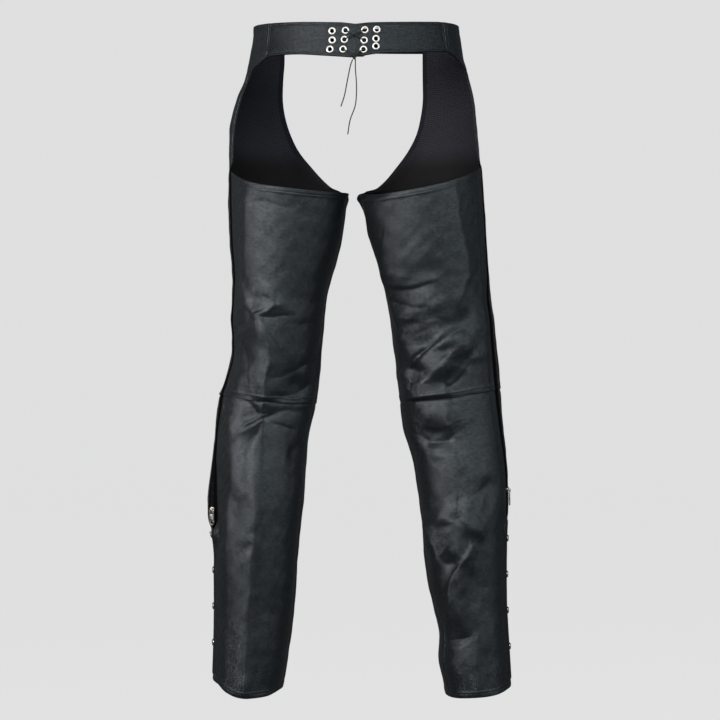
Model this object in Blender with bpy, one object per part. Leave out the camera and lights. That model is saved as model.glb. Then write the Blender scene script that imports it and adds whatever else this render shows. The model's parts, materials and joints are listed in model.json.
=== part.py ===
"""Leather motorcycle chaps, in the hollow form they keep when worn.

Frame: metres, +Z up. The origin is the middle of the waist ring. The wearer faces +Y, so the open
back of the garment, with its laced waistband, faces -Y, and the wearer's right side is +X.

Each leg is one smooth tube whose cross-sections come from short tables. The waist ring is the top
of the same tubes: there both sections open out to the one oval round the waist. A panel is a range
of angles and heights on a tube, given a wall, and stops 0.15 mm short of each seam line.

Angles go round a leg from its outer side (0) over the back (90) to its inner side (180), and on
over the front (270, also written -90). "Out" is the distance from the wearer's centre plane.
"""

import math
from collections import namedtuple

import bpy
import bmesh
import numpy as np
from mathutils import Matrix, Vector

MM = 0.001

# ---------------------------------------------------------------------------------------------
# Driving sizes, in millimetres
# ---------------------------------------------------------------------------------------------

SEAM_GAP = 0.3            # between two pieces that are sewn together
LEATHER = 1.3             # wall of a panel
BAND_LEATHER = 2.6        # the waistband is folded double
LINING = 1.0              # mesh lining with its seam allowance
ROUNDNESS = 2.15          # exponent of the sections: 2 is an ellipse, more is boxier

EYELET_OUTER = 11.2       # diameter over the flange
EYELET_HOLE = 5.6         # bore the lace runs through
EYELET_BARREL = 7.0
EYELET_FLANGE = 0.8
LACE = 1.8                # diameter of the lace

ZIP_TAPE = 16.0           # exposed width of the zip between the two leather edges
ZIP_CHAIN = 6.0
ZIP_CHAIN_RISE = 1.2
ZIP_TAPE_WALL = 1.2

PLACKET_WIDTH = 22.0
PLACKET_WALL = 1.4
SNAP_CAP = 11.0
SNAP_RISE = 2.2
SNAP_PITCH = 57.0
SNAP_SEAT = 0.9           # a snap's flat back clears the curved flap by this much at its centre

FACING_WALL = 1.0
BELT_WIDTH = 38.0

# ---------------------------------------------------------------------------------------------
# Tables, in millimetres (angles in degrees). A smooth curve runs through the rows of each.
# ---------------------------------------------------------------------------------------------

# How far each leg's section reaches out and in. Above the crotch the sections open to the waist
# oval, so "inner" is only the far end of an ellipse of which the panels use the near part.
Reach = namedtuple("Reach", "level outer inner")
REACH = {
    "left": [
        Reach(34, 160, -160), Reach(10, 162, -162), Reach(-12, 164, -163),
        Reach(-32, 168, -160), Reach(-48, 171, -153), Reach(-64, 175, -142),
        Reach(-80, 182, -124), Reach(-96, 189, -103), Reach(-112, 193, -82),
        Reach(-143, 199, -46), Reach(-175, 200.5, -20), Reach(-210, 201, 0),
        Reach(-247, 201.3, 9.5), Reach(-287, 200.5, 16), Reach(-319, 199.5, 21),
        Reach(-350, 197, 28), Reach(-385, 194, 38), Reach(-415, 195.5, 45),
        Reach(-446, 197.5, 49), Reach(-478, 195.5, 51), Reach(-510, 197, 53.5),
        Reach(-528, 202, 55), Reach(-545, 209.5, 57), Reach(-560, 215.5, 58.5),
        Reach(-580, 219.5, 62), Reach(-610, 221.8, 69), Reach(-637, 223, 74.5),
        Reach(-669, 223.5, 77), Reach(-720, 223.5, 80), Reach(-780, 222.8, 87),
        Reach(-828, 222.8, 90.5), Reach(-892, 222.8, 95.5), Reach(-940, 223.3, 100),
        Reach(-988, 225, 107), Reach(-1045, 226.5, 118),
    ],
    "right": [
        Reach(34, 163, -163), Reach(10, 166.5, -166), Reach(-12, 169.5, -167),
        Reach(-32, 173, -162), Reach(-48, 177, -155), Reach(-64, 181.5, -143),
        Reach(-80, 186, -125), Reach(-96, 189.5, -103), Reach(-112, 191.5, -82),
        Reach(-143, 194.5, -48), Reach(-175, 197.5, -22), Reach(-210, 202, -3),
        Reach(-247, 204.5, 5), Reach(-271, 206, 13), Reach(-300, 208, 21.5),
        Reach(-350, 211.5, 35.5), Reach(-382, 214, 44), Reach(-414, 217, 50.5),
        Reach(-446, 222.5, 56), Reach(-478, 225, 60), Reach(-525, 229.5, 66.5),
        Reach(-573, 233.5, 72), Reach(-610, 236, 75.5), Reach(-630, 237.5, 78.5),
        Reach(-653, 240, 87), Reach(-690, 242.5, 95.5), Reach(-733, 243.2, 102),
        Reach(-780, 240.8, 107.5), Reach(-828, 239.7, 111), Reach(-870, 239.6, 117),
        Reach(-905, 240.5, 125), Reach(-938, 242.6, 134), Reach(-956, 243.7, 133.5),
        Reach(-985, 245.5, 133), Reach(-1010, 247, 138), Reach(-1045, 249, 145),
    ],
}

# How far every section reaches to the front (+Y) and to the back (-Y).
Depth = namedtuple("Depth", "level front back")
DEPTH = [
    Depth(34, 116, 113), Depth(0, 117, 114), Depth(-48, 118, 116), Depth(-110, 118, 116),
    Depth(-180, 115, 110), Depth(-247, 110, 104), Depth(-330, 105, 95), Depth(-420, 98, 84),
    Depth(-500, 91, 75), Depth(-573, 86, 70), Depth(-640, 79, 76), Depth(-700, 72, 83),
    Depth(-780, 67, 85), Depth(-860, 66, 83), Depth(-940, 68, 81), Depth(-1045, 73, 82),
]

# The hip piece's back edge: the waistband seam, then the edge that swoops to the outer side.
Edge = namedtuple("Edge", "level out")
HIP_BACK_EDGE = {
    "left": [Edge(34, 132), Edge(10, 134), Edge(-15, 137), Edge(-34, 139.5), Edge(-42, 147),
             Edge(-50, 158), Edge(-62, 167.5), Edge(-82, 176), Edge(-115, 186), Edge(-145, 191.5),
             Edge(-180, 194), Edge(-212, 194)],
    "right": [Edge(34, 136.5), Edge(10, 139), Edge(-15, 143), Edge(-27, 147), Edge(-32, 156),
              Edge(-40, 166), Edge(-52, 175), Edge(-66, 180.5), Edge(-90, 186.5),
              Edge(-115, 189.5), Edge(-145, 192), Edge(-180, 195), Edge(-212, 199)],
}

# The front panel's crotch edge, from the belt down to the inner leg seam.
CROTCH_EDGE = {
    "left": [Edge(34, 116), Edge(-24, 116), Edge(-60, 118.5), Edge(-85, 118.8), Edge(-100, 117.5),
             Edge(-115, 114.5), Edge(-130, 110), Edge(-145, 104.5), Edge(-160, 97.5),
             Edge(-175, 88), Edge(-190, 75.5), Edge(-207, 61), Edge(-222, 47), Edge(-232, 35.5),
             Edge(-240, 22.5), Edge(-246, 11)],
    "right": [Edge(34, 111), Edge(-24, 111), Edge(-85, 111.4), Edge(-100, 110), Edge(-115, 107.5),
              Edge(-130, 104.5), Edge(-145, 99), Edge(-160, 91.5), Edge(-175, 82.5),
              Edge(-190, 71), Edge(-207, 58.5), Edge(-222, 45), Edge(-232, 34), Edge(-240, 18),
              Edge(-246, 7)],
}

# How far inside the outer side the back panel's zip edge lies.
Inset = namedtuple("Inset", "level inset")
ZIP_INSET = {
    "left": [Inset(-200, 6), Inset(-260, 6.5), Inset(-350, 6), Inset(-400, 4.5), Inset(-480, 4.5),
             Inset(-530, 5.5), Inset(-560, 8.5), Inset(-585, 9), Inset(-620, 6), Inset(-680, 4.5),
             Inset(-740, 6), Inset(-785, 4), Inset(-830, 2.6), Inset(-900, 2.6), Inset(-960, 5),
             Inset(-1050, 5)],
    "right": [Inset(-200, 3), Inset(-300, 3.5), Inset(-370, 5), Inset(-430, 10), Inset(-560, 11),
              Inset(-620, 8), Inset(-700, 5), Inset(-770, 4), Inset(-850, 3), Inset(-1050, 4)],
}

# The inner leg seam lies this far from the inner side, towards the back.
INSEAM_INSET = {
    "left": [Inset(-240, 0.3), Inset(-600, 1.5), Inset(-640, 3.5), Inset(-690, 4.5),
             Inset(-740, 3), Inset(-800, 1.2), Inset(-1050, 1.5)],
    "right": [Inset(-240, 0.3), Inset(-600, 1.2), Inset(-880, 1.5), Inset(-925, 3.5),
              Inset(-955, 6), Inset(-1000, 6), Inset(-1050, 6)],
}

# The left zip's loose lower end stands off the leg and turns to the back.
Flare = namedtuple("Flare", "level out back")
ZIP_FLARE = {
    "left": [Flare(-630, 0, 0), Flare(-660, 2.5, 3), Flare(-700, 7, 9), Flare(-730, 10, 12),
             Flare(-752, 10, 12), Flare(-768, 8, 9), Flare(-785, 3, 3), Flare(-800, 0, 0)],
    "right": [Flare(-630, 0, 0), Flare(-800, 0, 0)],
}

# Seam and edge heights round the leg.
Round = namedtuple("Round", "angle level")
THIGH_TOP = {
    "left": [Round(-180, -245), Round(-120, -240), Round(-60, -222), Round(0, -211),
             Round(18, -212), Round(34, -221), Round(48, -229), Round(66, -236), Round(90, -242),
             Round(113, -246), Round(140, -247), Round(163, -246), Round(180, -245)],
    "right": [Round(-180, -247), Round(-120, -241), Round(-60, -220), Round(0, -204),
              Round(14, -205), Round(30, -213), Round(55, -225.5), Round(82, -238.5),
              Round(107, -247), Round(136, -251), Round(163, -249), Round(180, -247)],
}
KNEE_SEAM = {
    "left": [Round(-180, -580), Round(-135, -582), Round(-90, -578), Round(-40, -569),
             Round(0, -565), Round(20, -566), Round(50, -568.5), Round(73, -573.5),
             Round(90, -576.5), Round(114, -578), Round(160, -579), Round(180, -580)],
    "right": [Round(-180, -577), Round(-135, -578), Round(-90, -572), Round(-40, -560),
              Round(0, -556), Round(30, -558), Round(66, -564), Round(90, -570.5),
              Round(112, -573.5), Round(136, -575.5), Round(180, -577)],
}
HEM = {
    "left": [Round(-180, -1030), Round(-135, -1034), Round(-90, -1034), Round(-45, -1022),
             Round(0, -1016), Round(30, -1018), Round(60, -1032), Round(90, -1039),
             Round(125, -1037), Round(155, -1031), Round(180, -1030)],
    "right": [Round(-180, -1040), Round(-135, -1038), Round(-90, -1036), Round(-45, -1029),
              Round(0, -1025), Round(26, -1027.5), Round(65, -1034.5), Round(93, -1037.5),
              Round(150, -1041), Round(180, -1040)],
}
WAIST_TOP = {
    "left": [Round(-90, 31), Round(-60, 28), Round(-35, 24), Round(0, 20), Round(35, 17.5),
             Round(58, 15.7), Round(75, 14), Round(86, 12.7), Round(90, 9)],
    "right": [Round(-90, 31), Round(-60, 28), Round(-35, 24.5), Round(0, 21), Round(35, 19.5),
              Round(52, 17), Round(65, 15.2), Round(86, 12.5), Round(90, 9)],
}
BAND_BOTTOM = {
    "left": [Round(-180, -24), Round(-45, -24), Round(0, -32), Round(30, -37.8),
             Round(35, -37.3), Round(46, -34.5), Round(58, -34.7), Round(75, -38),
             Round(90, -41.3)],
    "right": [Round(-180, -22), Round(-45, -22), Round(0, -25), Round(30, -26.5),
              Round(35, -26.7), Round(52, -30.4), Round(65, -33), Round(80, -35),
              Round(87, -38), Round(90, -41)],
}

# Creases and rolls of the worn leather. Each runs straight between two points given by how far
# out and how high they lie, on the back or the front; height is outward, and a trough is negative.
Fold = namedtuple("Fold", "face out_a level_a out_b level_b spread height")
FOLDS = {
    "left": [
        Fold("back", 158, -250, 104, -262, 14, -2.0),
        Fold("back", 152, -430, 118, -424, 9, -5.0),
        Fold("back", 148, -412, 128, -418, 9, 3.5),
        Fold("back", 172, -398, 156, -432, 12, -3.0),
        Fold("back", 142, -442, 141, -560, 12, 4.0),
        Fold("back", 96, -552, 60, -528, 9, -4.5),
        Fold("back", 178, -612, 152, -598, 10, -4.5),
        Fold("back", 152, -598, 126, -588, 10, -4.0),
        Fold("back", 152, -604, 163, -800, 13, 4.5),
        Fold("back", 163, -800, 174, -1030, 12, 4.0),
        Fold("back", 100, -640, 86, -668, 9, -4.0),
        Fold("back", 208, -690, 186, -760, 14, -3.0),
        Fold("front", 182, -330, 118, -352, 14, -3.5),
        Fold("front", 176, -452, 92, -486, 12, -4.5),
        Fold("front", 206, -546, 120, -566, 11, -5.0),
        Fold("front", 112, -606, 196, -632, 12, -4.5),
        Fold("front", 190, -712, 120, -748, 15, -3.5),
        Fold("front", 128, -880, 204, -928, 15, -3.0),
        Fold("front", 150, -660, 168, -1010, 12, 3.5),
    ],
    "right": [
        Fold("back", 52, -376, 122, -384, 10, -4.0),
        Fold("back", 66, -413, 106, -421, 8, -3.5),
        Fold("back", 68, -462, 128, -438, 12, 3.5),
        Fold("back", 170, -461, 104, -506, 13, -7.5),
        Fold("back", 104, -506, 80, -534, 11, -6.0),
        Fold("back", 172, -480, 138, -500, 11, 5.0),
        Fold("back", 138, -500, 88, -546, 11, 5.5),
        Fold("back", 186, -504, 150, -546, 10, -5.0),
        Fold("back", 140, -498, 140, -532, 9, 4.0),
        Fold("back", 120, -626, 150, -632, 12, -5.0),
        Fold("back", 112, -654, 156, -658, 13, 4.0),
        Fold("back", 118, -606, 148, -600, 10, 3.5),
        Fold("back", 108, -762, 128, -822, 9, 4.5),
        Fold("back", 132, -756, 176, -772, 12, -5.0),
        Fold("back", 176, -738, 190, -790, 11, 4.5),
        Fold("back", 190, -790, 166, -826, 11, 4.5),
        Fold("back", 212, -706, 204, -728, 12, -4.0),
        Fold("back", 166, -826, 158, -900, 11, 3.0),
        Fold("back", 134, -940, 176, -938, 11, -4.0),
        Fold("front", 186, -322, 112, -344, 14, -3.5),
        Fold("front", 92, -446, 188, -470, 12, -4.5),
        Fold("front", 214, -548, 122, -560, 11, -5.0),
        Fold("front", 122, -602, 214, -640, 12, -4.5),
        Fold("front", 216, -730, 132, -752, 15, -4.0),
        Fold("front", 150, -902, 228, -934, 14, -3.5),
        Fold("front", 172, -650, 196, -1010, 12, 3.5),
    ],
}

# Eyelet centres: distance from the centre plane and height, top to bottom.
Eyelet = namedtuple("Eyelet", "out level")
EYELETS = {
    "left": {"inner": [Eyelet(14.5, 0.3), Eyelet(16.2, -13.8), Eyelet(18.2, -29.0)],
             "outer": [Eyelet(35.2, -0.3), Eyelet(35.0, -14.6), Eyelet(38.6, -28.8)]},
    "right": {"inner": [Eyelet(15.4, 1.2), Eyelet(14.4, -15.0), Eyelet(13.5, -29.2)],
              "outer": [Eyelet(34.0, 2.0), Eyelet(32.8, -12.4), Eyelet(32.7, -24.2)]},
}

# Tails of the lace, hanging from the knot: distance to the side (+X) and height.
Hang = namedtuple("Hang", "x level")
LACE_TAIL = {
    "left": [Hang(-3.4, -45.5), Hang(-7, -56), Hang(-11.5, -78), Hang(-16, -101), Hang(-21.5, -118)],
    "right": [Hang(-0.6, -45.3), Hang(0.6, -60), Hang(2.6, -86), Hang(1, -115), Hang(-7.2, -139),
              Hang(-10.9, -161)],
}
KNOT_AT = Hang(-2.0, -42.5)
TAIL_DEPTH = 121.0        # how far behind the origin the tails hang

ZIP_END = {"left": -766.0, "right": -752.0}
PLACKET_END = {"left": -1006.0, "right": -1014.0}
SLIDER_LEVEL = {"left": -744.0, "right": -716.0}
SNAP_TOP = {"left": -785.5, "right": -792.0}
ZIP_OPENING = 14.0        # height over which the zip edges part above the back panel's top
ZIP_CLOSING = 12.0        # height over which they close again below the zip's end
FACING_WIDTH = {"left": 9.0, "right": 7.5}
SIDES = ("left", "right")


# ---------------------------------------------------------------------------------------------
# Curves through the tables
# ---------------------------------------------------------------------------------------------

def through(rows, key, column, at):
    """Smooth value of a column at the given keys, on a curve that never overshoots its rows."""
    ordered = sorted(rows, key=lambda row: getattr(row, key))
    x = np.array([getattr(row, key) for row in ordered], float)
    y = np.array([getattr(row, column) for row in ordered], float)
    step = np.diff(x)
    slope = np.diff(y) / step
    tangent = np.zeros_like(y)
    same_sign = slope[:-1] * slope[1:] > 0
    mean = 2 * slope[:-1] * slope[1:] / np.where(same_sign, slope[:-1] + slope[1:], 1)
    tangent[1:-1] = np.where(same_sign, mean, 0)
    tangent[0], tangent[-1] = slope[0], slope[-1]
    at = np.clip(np.asarray(at, float), x[0], x[-1])
    i = np.clip(np.searchsorted(x, at) - 1, 0, len(step) - 1)
    t = (at - x[i]) / step[i]
    h = step[i]
    return ((1 + 2 * t) * (1 - t) ** 2 * y[i] + t * (1 - t) ** 2 * h * tangent[i]
            + t * t * (3 - 2 * t) * y[i + 1] + t * t * (t - 1) * h * tangent[i + 1])


def smoothstep(low, high, value):
    """0 at low and beyond, 1 at high and beyond, with an even bend between; low may be higher."""
    t = np.clip((value - low) / (high - low), 0, 1)
    return t * t * (3 - 2 * t)


def ring(table, side):
    """Level for an angle, from a table of the heights round one leg."""
    def level(angle):
        return through(table[side], "angle", "level", (np.asarray(angle) + 180) % 360 - 180)
    return level


def unit(vectors):
    return vectors / np.linalg.norm(vectors, axis=-1, keepdims=True)


# ---------------------------------------------------------------------------------------------
# The leg tube
# ---------------------------------------------------------------------------------------------

class Leg:
    """One side's tube: sections, seam lines and folds. All its lengths are in millimetres."""

    def __init__(self, side):
        self.side = side
        self.sign = -1 if side == "left" else 1
        self.waist = ring(WAIST_TOP, side)
        self.band_low = ring(BAND_BOTTOM, side)
        self.thigh_top = ring(THIGH_TOP, side)
        self.knee = ring(KNEE_SEAM, side)
        self.hem = ring(HEM, side)
        self.zip_top = float(self.thigh_top(18.0))

    def column(self, table, name, level):
        return through(table[self.side], "level", name, level)

    def section(self, level):
        """Middle, half width, centre y and half depth of the section at a level."""
        outer = self.column(REACH, "outer", level)
        inner = self.column(REACH, "inner", level)
        front = through(DEPTH, "level", "front", level)
        back = through(DEPTH, "level", "back", level)
        return (outer + inner) / 2, (outer - inner) / 2, (front - back) / 2, (front + back) / 2

    def angle_at(self, out, level):
        """Angle, from 0 to 180, at which the section passes the given distance out."""
        middle, half, _, _ = self.section(level)
        cosine = np.clip((out - middle) / half, -1, 1)
        return np.degrees(np.arccos(np.sign(cosine) * np.abs(cosine) ** (ROUNDNESS / 2)))

    def plain_point(self, angle, level):
        """Distance out and y of a point of the tube before its folds."""
        middle, half, centre, reach = self.section(level)
        a = np.radians(angle)
        power = 2 / ROUNDNESS
        out = middle + half * np.sign(np.cos(a)) * np.abs(np.cos(a)) ** power
        y = centre - reach * np.sign(np.sin(a)) * np.abs(np.sin(a)) ** power
        ahead = angle - self.zip_front(level)
        near = np.where(ahead < 0, smoothstep(-48, 0, ahead), smoothstep(14, 0, ahead))
        return (out + self.column(ZIP_FLARE, "out", level) * near,
                y - self.column(ZIP_FLARE, "back", level) * near)

    def fold_height(self, angle, out, level):
        """Outward height of all folds together at a point of the tube."""
        total = np.zeros(np.broadcast(angle, out, level).shape)
        facing_back = np.sin(np.radians(angle))
        for fold in FOLDS[self.side]:
            run = np.array([fold.out_b - fold.out_a, fold.level_b - fold.level_a])
            length = math.hypot(*run)
            run = run / length
            along = (out - fold.out_a) * run[0] + (level - fold.level_a) * run[1]
            across = (level - fold.level_a) * run[0] - (out - fold.out_a) * run[1]
            beyond = np.maximum(np.maximum(-along, along - length), 0)
            near = np.exp(-(across ** 2 + beyond ** 2) / fold.spread ** 2)
            facing = facing_back if fold.face == "back" else -facing_back
            total = total + fold.height * near * smoothstep(0.1, 0.5, facing)
        return total

    def point(self, angle, level):
        """Point of the folded tube: each fold stands out from the section's middle."""
        out, y = self.plain_point(angle, level)
        middle, _, centre, _ = self.section(level)
        direction = unit(np.stack([out - middle, y - centre], -1))
        height = self.fold_height(angle, out, level)
        return np.stack([self.sign * (out + height * direction[..., 0]),
                         y + height * direction[..., 1], np.broadcast_to(level, out.shape)], -1)

    def surface(self, angle, level):
        """Points and outward normals of the folded tube, at arrays of angles and levels."""
        turn, rise = 0.4, 1.0
        round_it = self.point(angle + turn, level) - self.point(angle - turn, level)
        up_it = self.point(angle, level + rise) - self.point(angle, level - rise)
        return self.point(angle, level), unit(self.sign * np.cross(up_it, round_it))

    # Seam and edge lines: each gives an angle for a level ----------------------------------

    def degrees_for(self, width, angle, level):
        """Angle that spans a width along the section at a place on it."""
        _, half, _, reach = self.section(level)
        a = np.radians(angle)
        return np.degrees(width / np.hypot(half * np.sin(a), reach * np.cos(a)))

    def zip_back(self, level):
        """The back panel's outer edge."""
        inset = self.column(ZIP_INSET, "inset", level)
        return self.angle_at(self.column(REACH, "outer", level) - inset, level)

    def zip_front(self, level):
        """The front panel's outer edge, which closes up to the back panel below the zip."""
        back = self.zip_back(level)
        end = ZIP_END[self.side]
        opening = (smoothstep(end - ZIP_CLOSING, end, level)
                   * smoothstep(self.zip_top + ZIP_OPENING, self.zip_top, level))
        return back - self.degrees_for(ZIP_TAPE * opening, back, level)

    def hip_edge(self, level):
        """The front panel's back edge: the waist seam, the hip edge, then the zip."""
        hip = self.angle_at(self.column(HIP_BACK_EDGE, "out", level), level)
        share = smoothstep(self.zip_top + ZIP_OPENING, self.zip_top, level)
        return hip * (1 - share) + self.zip_front(level) * share

    def inseam(self, level):
        inset = self.column(INSEAM_INSET, "inset", level)
        return self.angle_at(self.column(REACH, "inner", level) + inset, level)

    def crotch_edge(self, level):
        """The front panel's front edge, then its inner leg seam, as an angle below 0."""
        open_edge = -self.angle_at(self.column(CROTCH_EDGE, "out", level), level)
        low = CROTCH_EDGE[self.side][-1].level
        share = smoothstep(low + 4, low - 4, level)
        return open_edge * (1 - share) + (self.inseam(level) - 360) * share


# ---------------------------------------------------------------------------------------------
# Grids of points that neighbouring pieces share
# ---------------------------------------------------------------------------------------------

# A column of a grid: its share of the way between two edges, plus a width along the section.
Column = namedtuple("Column", "share width")


class Grid:
    """Points and outward normals in rows from top to bottom and columns by growing angle."""

    def __init__(self, points, normals):
        self.points, self.normals = points, normals

    def cut(self, rows=slice(None), columns=slice(None)):
        return Grid(self.points[rows, columns], self.normals[rows, columns])

    def joined(self, other, axis):
        """This grid with another's rows (0) or columns (1) added, sharing the line they meet in."""
        kept = [slice(None), slice(None)]
        kept[axis] = slice(None, -1)
        return Grid(np.concatenate([self.points[tuple(kept)], other.points], axis),
                    np.concatenate([self.normals[tuple(kept)], other.normals], axis))


def zone(leg, start, stop, columns, upper, lower, shares, trims=(0.0, 0.0)):
    """Grid between two edge lines and two rings of a leg.

    start and stop give an angle for a level, upper and lower a level for an angle. shares are the
    rows' places from the upper ring (0) to the lower (1), and trims the gap left at either ring.
    """
    across = np.array([column.share for column in columns])
    width = np.array([column.width for column in columns])
    angles, levels = [], []
    level = np.full(len(columns), float(upper(0.0)))
    for share in shares:
        for _ in range(12):
            first, last = start(level), stop(level)
            angle = first + (last - first) * across
            angle = angle + leg.degrees_for(width, angle, level)
            level = (upper(angle) - trims[0]) * (1 - share) + (lower(angle) + trims[1]) * share
        angles.append(angle)
        levels.append(level)
    return Grid(*leg.surface(np.array(angles), np.array(levels)))


def even_columns(count):
    """Evenly spaced columns that stop half a seam gap short of both edges."""
    shares = np.linspace(0, 1, count)
    return ([Column(0, SEAM_GAP / 2)] + [Column(share, 0) for share in shares[1:-1]]
            + [Column(1, -SEAM_GAP / 2)])


def front_columns(side):
    """Columns of the front panels: the facing's line first, the placket's two lines last."""
    middle = [Column(share, 0) for share in (0.12, 0.22, 0.33, 0.44, 0.55, 0.66, 0.77)]
    return ([Column(0, SEAM_GAP / 2), Column(0, FACING_WIDTH[side])] + middle
            + [Column(1, -PLACKET_WIDTH), Column(1, -PLACKET_WIDTH / 2),
               Column(1, -SEAM_GAP / 2)])


BAND_ROWS = (0, 0.5, 1)
HIP_ROWS = (0, 0.03, 0.07, 0.12, 0.2, 0.32, 0.45, 0.58, 0.7, 0.81, 0.9, 0.955, 1)
THIGH_ROWS = np.linspace(0, 1, 13)
LINED_THIGH_ROWS = 4      # how many of them the lining covers


def calf_rows(leg):
    """Rows from the knee to the hem, with one at the zip's end and one at the placket's end."""
    top, bottom = float(leg.knee(15.0)), float(leg.hem(15.0))
    zip_share = (top - ZIP_END[leg.side]) / (top - bottom)
    placket_share = (top - PLACKET_END[leg.side]) / (top - bottom)
    closed = zip_share + ZIP_CLOSING / (top - bottom)
    upper = np.linspace(0, zip_share, 9)
    lower = np.linspace(closed, placket_share, 7)
    return np.concatenate([upper, lower, [1]]), len(upper) - 1, len(upper) + len(lower) - 1


class LegGrids:
    """Every grid of one leg, so that pieces that meet use the same points."""

    def __init__(self, leg):
        half = SEAM_GAP / 2
        front, back = front_columns(leg.side), even_columns(12)
        rows, self.zip_row, self.placket_row = calf_rows(leg)
        hip_band = zone(leg, leg.crotch_edge, leg.hip_edge, front, leg.waist, leg.band_low,
                        BAND_ROWS)
        hip = zone(leg, leg.crotch_edge, leg.hip_edge, front, leg.band_low, leg.thigh_top,
                   HIP_ROWS)
        thigh = zone(leg, leg.crotch_edge, leg.hip_edge, front, leg.thigh_top, leg.knee,
                     THIGH_ROWS, (0, half))
        self.hip_rows = len(BAND_ROWS) + len(HIP_ROWS) - 2
        self.front_thigh = hip_band.joined(hip, 0).joined(thigh, 0)
        self.front_shin = zone(leg, leg.crotch_edge, leg.hip_edge, front, leg.knee, leg.hem, rows,
                               (half, 0))
        self.back_thigh = zone(leg, leg.zip_back, leg.inseam, back, leg.thigh_top, leg.knee,
                               THIGH_ROWS, (0, half))
        self.back_calf = zone(leg, leg.zip_back, leg.inseam, back, leg.knee, leg.hem, rows,
                              (half, 0))

    def zip_edges(self):
        """The leather edges on both sides of the zip: front and back, with their normals."""
        front_thigh = self.front_thigh.cut(slice(self.hip_rows, None))
        calf = slice(None, self.zip_row + 1)

        def edge(upper, lower, column, name):
            return np.concatenate([getattr(upper, name)[:-1, column],
                                   getattr(lower, name)[calf, column]])

        return (edge(front_thigh, self.front_shin, -1, "points"),
                edge(front_thigh, self.front_shin, -1, "normals"),
                edge(self.back_thigh, self.back_calf, 0, "points"),
                edge(self.back_thigh, self.back_calf, 0, "normals"))


# ---------------------------------------------------------------------------------------------
# Solids
# ---------------------------------------------------------------------------------------------

def finish(name, colour, roughness, metallic=0.0):
    material = bpy.data.materials.new(name)
    material.use_nodes = True
    shader = material.node_tree.nodes["Principled BSDF"]
    shader.inputs["Base Color"].default_value = (*colour, 1)
    shader.inputs["Roughness"].default_value = roughness
    shader.inputs["Metallic"].default_value = metallic
    return material


def finishes():
    return {
        "leather": finish("black_leather", (0.022, 0.023, 0.025), 0.42),
        "facing": finish("facing_leather", (0.012, 0.012, 0.015), 0.5),
        "lining": finish("black_mesh", (0.010, 0.010, 0.013), 0.9),
        "tape": finish("zip_tape", (0.006, 0.006, 0.007), 0.85),
        "nickel": finish("nickel", (0.62, 0.61, 0.59), 0.3, 1.0),
        "lace": finish("waxed_lace", (0.012, 0.012, 0.013), 0.6),
    }


def solid(name, shape, material):
    """A named object from a bmesh in millimetres, with its faces pointing out."""
    bmesh.ops.scale(shape, vec=(MM, MM, MM), verts=shape.verts)
    bmesh.ops.recalc_face_normals(shape, faces=shape.faces)
    mesh = bpy.data.meshes.new(name)
    shape.to_mesh(mesh)
    shape.free()
    mesh.shade_smooth()
    mesh.set_sharp_from_angle(angle=math.radians(45))
    mesh.materials.append(material)
    thing = bpy.data.objects.new(name, mesh)
    bpy.context.collection.objects.link(thing)
    return thing


def stand(thing, origin, turn):
    """Places a thing by its origin, in millimetres, and its rotation."""
    thing.matrix_world = Matrix.Translation(origin * MM) @ turn.to_4x4()
    return thing


def from_faces(name, points, faces, material):
    shape = bmesh.new()
    corners = [shape.verts.new(point) for point in points]
    for face in faces:
        shape.faces.new([corners[i] for i in face])
    return solid(name, shape, material)


def wall(name, grid, out, depth, material):
    """A closed wall on a grid: its outer face is moved out, its inner face lies depth behind.

    out is one height, or one for each column.
    """
    rows, columns = grid.points.shape[:2]
    out = np.broadcast_to(out, (rows, columns))[..., None]
    outer = (grid.points + grid.normals * out).reshape(-1, 3)
    inner = (grid.points + grid.normals * (out - depth)).reshape(-1, 3)
    count = rows * columns

    def at(row, column):
        return row * columns + column

    faces = []
    for r in range(rows - 1):
        for c in range(columns - 1):
            for face in ([at(r, c), at(r, c + 1), at(r + 1, c + 1)],
                         [at(r, c), at(r + 1, c + 1), at(r + 1, c)]):
                faces.append(face)
                faces.append([count + i for i in reversed(face)])
    rim = ([at(0, c) for c in range(columns)]
           + [at(r, columns - 1) for r in range(1, rows)]
           + [at(rows - 1, c) for c in range(columns - 2, -1, -1)]
           + [at(r, 0) for r in range(rows - 2, 0, -1)])
    for a, b in zip(rim, rim[1:] + rim[:1]):
        faces.append([b, a, count + a, count + b])
    return from_faces(name, np.vstack([outer, inner]), faces, material)


def turned(name, origin, axis, profile, steps, material):
    """A solid turned from (radius, height) pairs round an axis.

    A profile that starts and ends at radius 0 is closed by its poles; any other is a ring.
    """
    points, rings = [], []
    for radius, height in profile:
        around = steps if radius else 1
        rings.append(range(len(points), len(points) + around))
        turns = [2 * math.pi * k / steps for k in range(around)]
        points += [(radius * math.cos(turn), radius * math.sin(turn), height) for turn in turns]
    pairs = list(zip(rings, rings[1:]))
    if profile[0][0]:
        pairs.append((rings[-1], rings[0]))
    faces = []
    for low, high in pairs:
        for k in range(steps):
            corners = [low[k % len(low)], low[(k + 1) % len(low)],
                       high[(k + 1) % len(high)], high[k % len(high)]]
            faces.append(list(dict.fromkeys(corners)))
    return stand(from_faces(name, points, faces, material), origin,
                 axis.to_track_quat("Z", "Y").to_matrix())


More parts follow.
